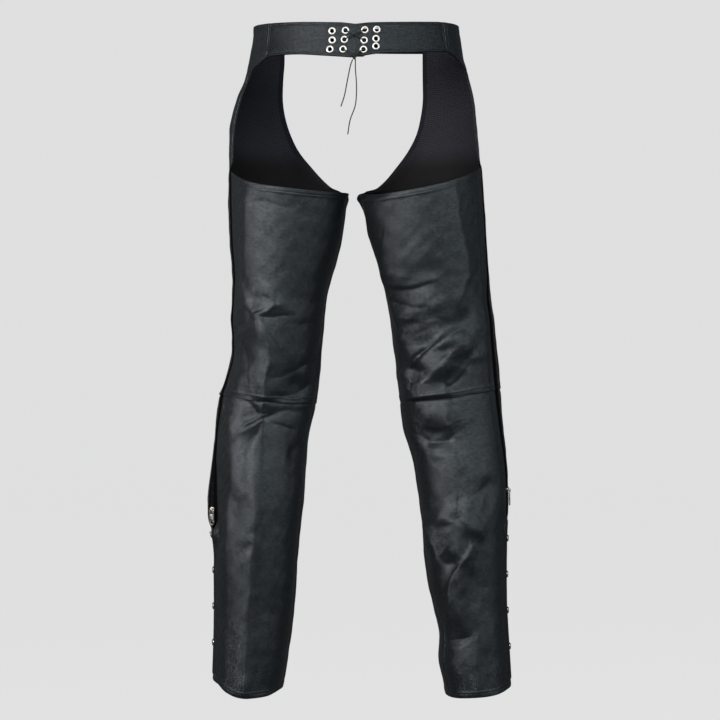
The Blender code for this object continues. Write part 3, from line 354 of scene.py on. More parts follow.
@dataclass(frozen=True)
class WaxedThread:
    """Bonded nylon sewing thread in black. Its twist catches a little light on each stitch."""

    name: str = "bonded_nylon_thread"
    colour: str = "#17181a"

    def build(self) -> Material:
        """Builds the material."""
        material, tree, shader = new_material(self.name)
        place = add(tree, "ShaderNodeTexCoord").outputs["Object"]
        plies = add(tree, "ShaderNodeTexNoise", {"Vector": place, "Scale": per_metre(0.5)})
        bump = add(tree, "ShaderNodeBump", {"Height": plies, "Strength": 0.5, "Distance": 0.1 * MM})
        wire(shader, {"Normal": bump, "Base Color": linear(self.colour), "Roughness": 0.48})
        return material


@dataclass(frozen=True)
class BraidedCord:
    """Round braided polyester lace, waxed black: small diagonal plaits under a dull shine."""

    name: str = "waxed_braided_cord"
    colour: str = "#141415"
    plait: float = 1.2

    def build(self) -> Material:
        """Builds the material. Its UV map runs once round the cord in U and in metres in V."""
        material, tree, shader = new_material(self.name)
        place = add(tree, "ShaderNodeUVMap").outputs["UV"]
        grid = add(tree, "ShaderNodeMapping", {
            "Vector": place, "Scale": (6.0, per_metre(self.plait), 1), "Rotation": (0, 0, 0.6)})
        plaits = add(tree, "ShaderNodeTexChecker", {"Vector": grid, "Scale": 1.0})
        bump = add(tree, "ShaderNodeBump", {
            "Height": plaits.outputs["Fac"], "Strength": 0.5, "Distance": 0.15 * MM})
        wire(shader, {"Normal": bump, "Base Color": linear(self.colour), "Roughness": 0.5})
        return material


class Wardrobe:
    """Every finish of the chaps, built once."""

    def __init__(self) -> None:
        """Builds the materials."""
        self.leather = Leather("waxed_cowhide").build()
        self.band = Leather("waxed_cowhide_band", grain=2.8, mottle=5.0, gloss=(0.26, 0.4)).build()
        # Painted shade: the placket is coloured nearly black for the shade on its flap, which faces
        # sideways out of the light.
        self.placket = Leather("cowhide_placket", colour="#08090a", worn="#0c0d0e",
                               rough=(0.6, 0.75)).build()
        self.facing = Leather("cowhide_facing", colour="#1d1e22", worn="#292a2f",
                              flesh="#222329", rough=(0.5, 0.68)).build()
        self.lining = MeshLining().build()
        self.tape = WovenTape().build()
        self.teeth = MouldedTeeth().build()
        self.nickel = Plating("nickel_plate").build()
        self.eyelet = Plating("nickel_eyelet", colour="#f0efea", rough=(0.4, 0.5)).build()
        self.thread = WaxedThread().build()
        self.cord = BraidedCord().build()


# ---- Meshes ----

def placed(name: str, data: ID) -> Object:
    """Puts an object into the scene.

    Args:
        name: the object's name.
        data: its mesh, curve, light or camera.

    Returns:
        The object, at the origin.
    """
    piece = bpy.data.objects.new(name, data)
    bpy.context.scene.collection.objects.link(piece)
    return piece


def mesh_of(work: bmesh.types.BMesh, name: str) -> Mesh:
    """Makes mesh data of finished bmesh work."""
    mesh = bpy.data.meshes.new(name)
    work.to_mesh(mesh)
    work.free()
    return mesh


def mesh_object(name: str, points: np.ndarray, faces: Iterable[Sequence[int]],
                material: Material, uv: np.ndarray | None = None) -> Object:
    """Makes a smooth-shaded object at the origin.

    Args:
        name: the piece's name.
        points: its vertices in metres, in the frame.
        faces: vertex numbers of each face, turning so that it points outwards.
        material: its finish.
        uv: one UV pair for each vertex, if its finish needs a map.

    Returns:
        The new object.
    """
    mesh = bpy.data.meshes.new(name)
    mesh.from_pydata([tuple(p) for p in points], [], [tuple(f) for f in faces])
    mesh.materials.append(material)
    if uv is not None:
        layer = mesh.uv_layers.new(name="UVMap")
        corner = np.zeros(len(mesh.loops), np.int32)
        mesh.loops.foreach_get("vertex_index", corner)
        layer.data.foreach_set("uv", uv[corner].astype(np.float32).ravel())
    mesh.shade_smooth()
    return placed(name, mesh)


def soften(piece: Object, degrees: float = 40.0) -> Object:
    """Keeps a piece's hard edges crisp and shades the rest smooth."""
    piece.data.set_sharp_from_angle(angle=math.radians(degrees))
    return piece


def plate(name: str, outline: Sequence[Pair],
          windows: Sequence[Sequence[Pair]], thick: float, bevel: float,
          place: Matrix, material: Material) -> Object:
    """Makes a flat stamped piece with rounded edges.

    Args:
        name: the piece's name.
        outline: its outline in millimetres, in its own X and Y.
        windows: outlines of the openings through it.
        thick: its thickness in millimetres.
        bevel: radius of its edges in millimetres.
        place: puts its middle plane, X and Y in the frame, in metres.
        material: its finish.

    Returns:
        The new object.
    """
    curve = bpy.data.curves.new(name, "CURVE")
    curve.dimensions = "2D"
    curve.fill_mode = "BOTH"
    curve.extrude = (thick / 2 - bevel) * MM
    curve.bevel_depth = bevel * MM
    curve.bevel_resolution = 2
    curve.offset = -bevel * MM
    for line in (outline, *windows):
        spline = curve.splines.new("POLY")
        spline.points.add(len(line) - 1)
        spline.use_cyclic_u = True
        for point, (x, y) in zip(spline.points, line):
            point.co = (x * MM, y * MM, 0, 1)
    shape = placed(name, curve)
    mesh = bpy.data.meshes.new_from_object(
        shape.evaluated_get(bpy.context.evaluated_depsgraph_get()))
    bpy.data.objects.remove(shape)
    bpy.data.curves.remove(curve)
    mesh.name = name
    mesh.transform(place)
    mesh.materials.clear()
    mesh.materials.append(material)
    weld(mesh)
    mesh.shade_smooth()
    return soften(placed(name, mesh), 35)


def weld(mesh: Mesh, distance: float = 0.01) -> None:
    """Merges doubled vertices and turns every face outwards."""
    work = bmesh.new()
    work.from_mesh(mesh)
    bmesh.ops.remove_doubles(work, verts=work.verts, dist=distance * MM)
    bmesh.ops.recalc_face_normals(work, faces=work.faces)
    work.to_mesh(mesh)
    work.free()


def arc(centre: Pair, radius: float, start: float, stop: float,
        count: int) -> list[Pair]:
    """Points on an arc, its angles in degrees."""
    angles = np.radians(np.linspace(start, stop, count))
    return [(centre[0] + radius * math.cos(a), centre[1] + radius * math.sin(a)) for a in angles]


def rounded(width: float, height: float, radius: float) -> list[Pair]:
    """Outline of a rectangle with round corners, in the units of its sizes."""
    x, y = width / 2 - radius, height / 2 - radius
    return [point for a, b, start in ((x, y, 0), (-x, y, 90), (-x, -y, 180), (x, -y, 270))
            for point in arc((a, b), radius, start, start + 90, 7)]


def turned(name: str, profile: Sequence[Pair], place: Matrix,
           material: Material, sides: int = 40, ring: bool = False) -> Object:
    """Turns a profile round its own Z.

    Args:
        name: the piece's name.
        profile: radius and height pairs in millimetres, clockwise as seen with the axis on the
            left. A radius of 0 closes an end.
        place: puts local Z in the frame, in metres.
        material: its finish.
        sides: how many steps go round.
        ring: whether the profile is a closed loop.

    Returns:
        The new object.
    """
    radius, height = np.array(profile, float).T * MM
    turns = np.arange(sides) * (math.tau / sides)
    points = np.stack([np.outer(np.cos(turns), radius), np.outer(np.sin(turns), radius),
                       np.tile(height, (sides, 1))], -1)
    number = np.arange(sides * len(radius)).reshape(sides, -1)
    number[:, radius == 0] = number[0, radius == 0]        # every turn meets on the axis
    used, number = np.unique(number, return_inverse=True)
    number = number.reshape(sides, -1)
    faces = []
    for low in range(len(radius) if ring else len(radius) - 1):
        pair = number[:, [low, (low + 1) % len(radius)]]
        quads = np.hstack([pair, np.roll(pair, -1, 0)[:, ::-1]]).tolist()
        faces += [tuple(dict.fromkeys(quad)) for quad in quads]
    piece = mesh_object(name, points.reshape(-1, 3)[used], faces, material)
    piece.data.transform(place)
    return soften(piece, 50)


def smooth_route(anchors: Sequence[np.ndarray], spacing: float) -> np.ndarray:
    """Points a short step apart on a Catmull-Rom curve through the anchors.

    Args:
        anchors: the points that it passes.
        spacing: the step, in the anchors' unit.

    Returns:
        The curve's points, one row each.
    """
    padded = [anchors[0] * 2 - anchors[1], *anchors, anchors[-1] * 2 - anchors[-2]]
    route = []
    for a, b, c, d in zip(padded, padded[1:], padded[2:], padded[3:]):
        steps = max(1, round(float(np.linalg.norm(c - b)) / spacing))
        for t in np.arange(steps) / steps:
            route.append((b * 2 + (c - a) * t + (a * 2 - b * 5 + c * 4 - d) * t * t
                          + (b * 3 - a - c * 3 + d) * t ** 3) / 2)
    return np.array([*route, anchors[-1]])


def tube(name: str, route: np.ndarray, radius: float, material: Material,
         sides: int = 10, closed: bool = False) -> Object:
    """A round tube along a route, with rounded ends and a UV map in turns and metres.

    Args:
        name: the piece's name.
        route: its points in metres.
        radius: its radius in metres.
        material: its finish.
        sides: how many faces go round.
        closed: whether its ends meet.

    Returns:
        The new object.
    """
    radii = np.full(len(route), radius)
    if not closed:
        first, last = unit(route[0] - route[1]), unit(route[-1] - route[-2])
        route = np.vstack([route[0] + first * radius * 0.4, route[0] + first * radius * 0.25, route,
                           route[-1] + last * radius * 0.25, route[-1] + last * radius * 0.4])
        radii = np.concatenate([[radius * 0.3, radius * 0.75], radii,
                                [radius * 0.75, radius * 0.3]])
    run = np.roll(route, -1, 0) - np.roll(route, 1, 0) if closed else np.gradient(route, axis=0)
    tangents = unit(run)
    side = unit(np.cross(tangents[0], (0.31, 0.2, 0.93)))
    lengths = lengths_along(route)
    angles = np.linspace(0, math.tau, sides, endpoint=False)
    points, uv = [], []
    for place, tangent, size, length in zip(route, tangents, radii, lengths):
        side = unit(side - tangent * (side @ tangent))
        other = np.cross(tangent, side)
        for angle in angles:
            points.append(place + (side * math.cos(angle) + other * math.sin(angle)) * size)
            uv.append((angle / math.tau, length))
    rings = len(route)
    faces = [(k * sides + j, k * sides + (j + 1) % sides,
              ((k + 1) % rings) * sides + (j + 1) % sides, ((k + 1) % rings) * sides + j)
             for k in range(rings if closed else rings - 1) for j in range(sides)]
    if not closed:
        faces += [tuple(range(sides))[::-1], tuple(range((rings - 1) * sides, rings * sides))]
    return mesh_object(name, np.array(points), faces, material, np.array(uv))


def baked(piece: Object) -> Object:
    """Applies a piece's modifiers, so that it holds a plain mesh."""
    graph = bpy.context.evaluated_depsgraph_get()
    mesh = bpy.data.meshes.new_from_object(piece.evaluated_get(graph))
    mesh.name = piece.name
    piece.modifiers.clear()
    piece.data = mesh
    return piece


def lengths_along(route: np.ndarray) -> np.ndarray:
    """How far along a route each of its points lies."""
    return np.concatenate([[0], np.cumsum(np.linalg.norm(np.diff(route, axis=0), axis=1))])


def unit(vectors: np.ndarray) -> np.ndarray:
    """Vectors of length 1 along the last axis."""
    return vectors / np.linalg.norm(vectors, axis=-1, keepdims=True)


def smoothstep(low: float, high: float, value: np.ndarray) -> np.ndarray:
    """0 at low and beyond, 1 at high and beyond, with an even bend between."""
    share = np.clip((value - low) / (high - low), 0, 1)
    return share * share * (3 - 2 * share)


# ---- Walls read back from the frame ----

def welded(node: str) -> tuple[np.ndarray, np.ndarray]:
    """Vertices of a frame node with its doubles merged.

    Args:
        node: the node's name.

    Returns:
        The distinct vertices, and three vertex numbers for each triangle.
    """
    mesh = frame["nodes"][node].data
    corners = np.zeros(len(mesh.vertices) * 3, np.float32)
    mesh.vertices.foreach_get("co", corners)
    corners = corners.reshape(-1, 3).astype(float)
    _, first, back = np.unique(np.round(corners / (0.01 * MM)).astype(int), axis=0,
                               return_index=True, return_inverse=True)
    triangles = np.array([polygon.vertices[:] for polygon in mesh.polygons])
    return corners[first], back.ravel()[triangles]


def partners(points: np.ndarray) -> np.ndarray:
    """For each point of a wall, the number of the nearest other one: the one across the wall."""
    apart = np.linalg.norm(points[:, None] - points[None], axis=-1)
    np.fill_diagonal(apart, np.inf)
    return apart.argmin(1)


@dataclass
class Wall:
    """A cut piece's two faces, as rows from top to bottom and columns round the leg."""

    outer: np.ndarray
    inner: np.ndarray

    @classmethod
    def of_panel(cls, node: str) -> "Wall":
        """Reads a wall by walking over its triangles, which all share one diagonal direction."""
        points, triangles = welded(node)
        across = partners(points)
        flat = triangles[[len({*t} & {*across[t]}) == 0 for t in triangles]]
        normal = np.cross(points[flat[:, 1]] - points[flat[:, 0]],
                          points[flat[:, 2]] - points[flat[:, 0]])
        thick = (points[flat] - points[across[flat]]).mean(1)
        skin = flat[(normal * thick).sum(-1) > 0]
        third: dict[tuple[int, int], list[int]] = {}
        for a, b, c in skin.tolist():
            for p, q, r in ((a, b, c), (b, c, a), (c, a, b)):
                third.setdefault((min(p, q), max(p, q)), []).append(r)
        used = np.bincount(skin.ravel(), minlength=len(points))
        rim: dict[int, list[int]] = {}
        for (p, q), others in third.items():
            if len(others) == 1:
                rim.setdefault(p, []).append(q)
                rim.setdefault(q, []).append(p)
        ends = [p for p in rim if used[p] <= 2]
        start = max((p for p in ends if used[p] == 2), key=lambda p: points[p][2])

        def walk(following: int) -> list[int]:
            """Vertices along the rim from the start to the next corner."""
            path = [start, following]
            while path[-1] not in ends:
                path.append(next(q for q in rim[path[-1]] if q != path[-2]))
            return path

        rows = [max((walk(q) for q in rim[start]), key=lambda path: points[path[-1]][2])]
        done = set(rows[0])

        def beyond(p: int, q: int) -> int | None:
            """The vertex across the edge between two others that isn't in a row yet."""
            found = [r for r in third.get((min(p, q), max(p, q)), []) if r not in done]
            return found[0] if found else None

        while True:
            row = rows[-1]
            after = [beyond(p, q) for p, q in zip(row, row[1:])]
            if after[0] is None:
                break
            done.update(after)
            first = beyond(row[0], after[0])
            done.add(first)
            rows.append([first] + after)
        grid = np.array(rows)
        faces = [points[grid], points[across[grid]]]
        middle = (math.copysign(LEG_MIDDLE * MM, faces[0][..., 0].mean()), 0.0)
        faces.sort(key=lambda face: -np.linalg.norm(face[..., :2] - middle, axis=-1).mean())
        return cls(*faces)

    @classmethod
    def of_belt(cls, node: str, holes: Sequence["Disc"] = ()) -> "Wall":
        """Reads a belt's three rows by their height, leaving out the rims of its holes.

        Args:
            node: the belt's node.
            holes: the eyelets that stand in it. A middle point that a hole took is worked out
                from its neighbours.

        Returns:
            The wall, with its columns by growing X.
        """
        points, _ = welded(node)
        for hole in holes:
            points = points[np.linalg.norm(points - hole.centre, axis=1) > HOLE_CLEAR * MM]
        across = partners(points)
        reach = np.hypot(points[:, 0] * WAIST_OVAL, points[:, 1])
        outer = np.flatnonzero(reach > reach[across])
        outer = outer[np.argsort(-points[outer, 2])]
        steps = np.sort(np.argsort(np.diff(points[outer, 2]))[:2]) + 1
        rows = [row[np.argsort(points[row, 0])] for row in np.split(outer, steps)]
        faces = []
        for face in (points, points[across]):
            top, middle, bottom = (face[row] for row in rows)
            chord = (top + bottom) / 2
            column = np.abs(chord[None, :, 0] - middle[:, None, 0]).argmin(1)
            offset = middle - chord[column]
            filled = [np.interp(np.arange(len(top)), column, offset[:, k]) for k in range(3)]
            faces.append(np.stack([top, chord + np.stack(filled, -1), bottom]))
        return cls(*faces)

    def extended(self, top: float = 0, bottom: float = 0, start: float = 0, end: float = 0) -> "Wall":
        """The wall with edges carried straight on, each by its own number of millimetres."""
        faces = []
        for face in (self.outer, self.inner):
            for axis, first, last in ((0, top, bottom), (1, start, end)):
                grid = np.moveaxis(face, axis, 0)
                added = [grid]
                if first:
                    added.insert(0, (grid[0] + unit(grid[0] - grid[1]) * first * MM)[None])
                if last:
                    added.append((grid[-1] + unit(grid[-1] - grid[-2]) * last * MM)[None])
                face = np.moveaxis(np.concatenate(added), 0, axis)
            faces.append(face)
        return Wall(*faces)

    def reaching(self, x: float, at_end: bool) -> "Wall":
        """The wall with one end carried straight on to a line across, in millimetres.

        Args:
            x: where the line stands.
            at_end: whether its last column goes there, or its first.

        Returns:
            The longer wall.
        """
        faces = []
        for face in (self.outer, self.inner):
            grid = face if at_end else face[:, ::-1]
            step = grid[:, -2] - grid[:, -3]
            share = (x * MM - grid[:, -2, 0]) / step[:, 0]
            grid = np.concatenate([grid[:, :-1], (grid[:, -2] + step * share[:, None])[:, None]], 1)
            faces.append(grid if at_end else grid[:, ::-1])
        return Wall(*faces)

    @property
    def thickness(self) -> float:
        """The wall's thickness in metres."""
        return float(np.linalg.norm(self.outer - self.inner, axis=-1).mean())


@dataclass
class Disc:
    """Where a turned piece stands: its middle, the way it faces and its half height."""

    centre: np.ndarray
    axis: np.ndarray
    half: float

    @classmethod
    def of_node(cls, node: str, facing: Sequence[float]) -> "Disc":
        """Reads the place of a turned node, which is flatter along its axis than across it.

        Args:
            node: the node's name.
            facing: roughly which way it faces.

        Returns:
            Its place.
        """
        points, _ = welded(node)
        middle = points.mean(0)
        _, turn = np.linalg.eigh(np.cov((points - middle).T))
        axis = turn[:, 0] * np.sign(turn[:, 0] @ np.array(facing))
        along = (points - middle) @ axis
        return cls(middle + axis * (along.max() + along.min()) / 2, axis,
                   float(along.max() - along.min()) / 2)

    def matrix(self, height: float = 0.0) -> Matrix:
        """Turns local Z to the axis, with the origin the given height along it in metres."""
        turn = Vector(self.axis).to_track_quat("Z", "Y").to_matrix().to_4x4()
        return Matrix.Translation(self.centre + self.axis * height) @ turn


# ---- Smooth surfaces through the walls ----

def hermite(keys: np.ndarray, at: np.ndarray) -> tuple[np.ndarray, ...]:
    """Span numbers and the four cubic weights of a Hermite curve at given places.

    Args:
        keys: the growing places of the curve's own points.
        at: the places asked for.

    Returns:
        The span that each place is in, then its weights for two values and two slopes.
    """
    span = np.clip(np.searchsorted(keys, at, side="right") - 1, 0, len(keys) - 2)
    step = keys[span + 1] - keys[span]
    u = (at - keys[span]) / step
    return (span, (1 + 2 * u) * (1 - u) ** 2, u * u * (3 - 2 * u), step * u * (1 - u) ** 2,
            step * u * u * (u - 1))


class Surface:
    """A smooth surface through a grid of points, by metres across (s) and down (t)."""

    def __init__(self, points: np.ndarray, outward: np.ndarray) -> None:
        """Fits the surface.

        Args:
            points: rows and columns of points.
            outward: roughly which way is outward at each of them.
        """
        across = np.linalg.norm(np.diff(points, axis=1), axis=-1).mean(0)
        down = np.linalg.norm(np.diff(points, axis=0), axis=-1).mean(1)
        self.s = np.concatenate([[0], np.cumsum(across)])
        self.t = np.concatenate([[0], np.cumsum(down)])
        self.points = points
        self.ds = np.gradient(points, self.s, axis=1)
        self.dt = np.gradient(points, self.t, axis=0)
        self.dst = np.gradient(self.ds, self.t, axis=0)
        self.turn = 1.0
        s, t = np.meshgrid(self.s[:-1] + across / 2, self.t[:-1] + down / 2)
        cells = (outward[:-1, :-1] + outward[1:, 1:]) / 2
        self.turn = float(np.sign((self.normals(s, t) * cells).sum()))

    @property
    def size(self) -> Pair:
        """Width across and height down, in metres."""
        return float(self.s[-1]), float(self.t[-1])

    def at(self, s: np.ndarray, t: np.ndarray) -> np.ndarray:
        """Points at places across and down."""
        s, t = np.broadcast_arrays(np.asarray(s, float), np.asarray(t, float))
        c, a0, a1, b0, b1 = hermite(self.s, s)
        r, f0, f1, g0, g1 = hermite(self.t, t)
        total = 0
        for column, value, slope in ((c, a0, b0), (c + 1, a1, b1)):
            for row, rise, run in ((r, f0, g0), (r + 1, f1, g1)):
                total = total + ((value * rise)[..., None] * self.points[row, column]
                                 + (slope * rise)[..., None] * self.ds[row, column]
                                 + (value * run)[..., None] * self.dt[row, column]
                                 + (slope * run)[..., None] * self.dst[row, column])
        return total

    def normals(self, s: np.ndarray, t: np.ndarray) -> np.ndarray:
        """Outward normals at places across and down."""
        step = 0.4 * MM
        s, t = np.broadcast_arrays(np.asarray(s, float), np.asarray(t, float))
        low_s, high_s = np.maximum(s - step, 0), np.minimum(s + step, self.s[-1])
        low_t, high_t = np.maximum(t - step, 0), np.minimum(t + step, self.t[-1])
        across = self.at(high_s, t) - self.at(low_s, t)
        down = self.at(s, high_t) - self.at(s, low_t)
        return unit(np.cross(across, down)) * self.turn

    def area(self) -> float:
        """Flat area in square metres."""
        across = np.diff(self.points, axis=1)
        down = np.diff(self.points, axis=0)
        cells = np.cross(across[:-1] + across[1:], down[:, :-1] + down[:, 1:]) / 4
        return float(np.linalg.norm(cells, axis=-1).sum())


# ---- Creases ----

@dataclass(frozen=True)
class Crease:
    """A ridge (height above 0) or trough along a line, seen from the back or the front.

    Its line runs through places (x, z) or (x, z, share) in the frame, where share is the part of
    its height that it has there, and 1 where none is given. The flank left of the line's
    direction, as seen from behind, is left millimetres wide and the other one right millimetres.
    """

    height: float
    left: float
    right: float
    crest: float               # radius of its rounded top
    line: tuple[tuple[float, ...], ...]
    face: int = 1              # 1 on the back, -1 on the front

    def relief(self, points: np.ndarray, facing: np.ndarray) -> np.ndarray:
        """Outward height of the crease in millimetres.

        Args:
            points: places in millimetres, one row each.
            facing: how much each place faces back, from -1 to 1.

        Returns:
            One height for each place.
        """
        line = np.array([(*place, 1)[:3] for place in self.line], float)
        total = np.zeros(len(points))
        flat = points[:, [0, 2]]
        reach = 6 * max(self.left, self.right)          # it has faded out by there
        low, high = line[:, :2].min(0) - reach, line[:, :2].max(0) + reach
        near = np.flatnonzero(((flat > low) & (flat < high)).all(1))
        flat = flat[near]
        best = np.full(len(flat), np.inf)
        signed, share = np.zeros(len(flat)), np.zeros(len(flat))
        for (x, z, first), (_, _, last), run in zip(line, line[1:], np.diff(line[:, :2], axis=0)):
            offset = flat - (x, z)
            part = np.clip(offset @ run / (run @ run), 0, 1)
            distance = np.linalg.norm(offset - part[:, None] * run, axis=1)
            nearer = distance < best
            best = np.where(nearer, distance, best)
            side = run[0] * offset[:, 1] - run[1] * offset[:, 0]
            signed = np.where(nearer, np.where(side > 0, distance, -distance), signed)
            share = np.where(nearer, first + part * (last - first), share)
        width = np.where(signed > 0, self.left, self.right)
        shown = smoothstep(-0.1, 0.25, facing[near] * self.face)
        away = np.sqrt(signed ** 2 + self.crest ** 2) - self.crest
        total[near] = self.height * np.exp(-away / width) * share * shown
        return total
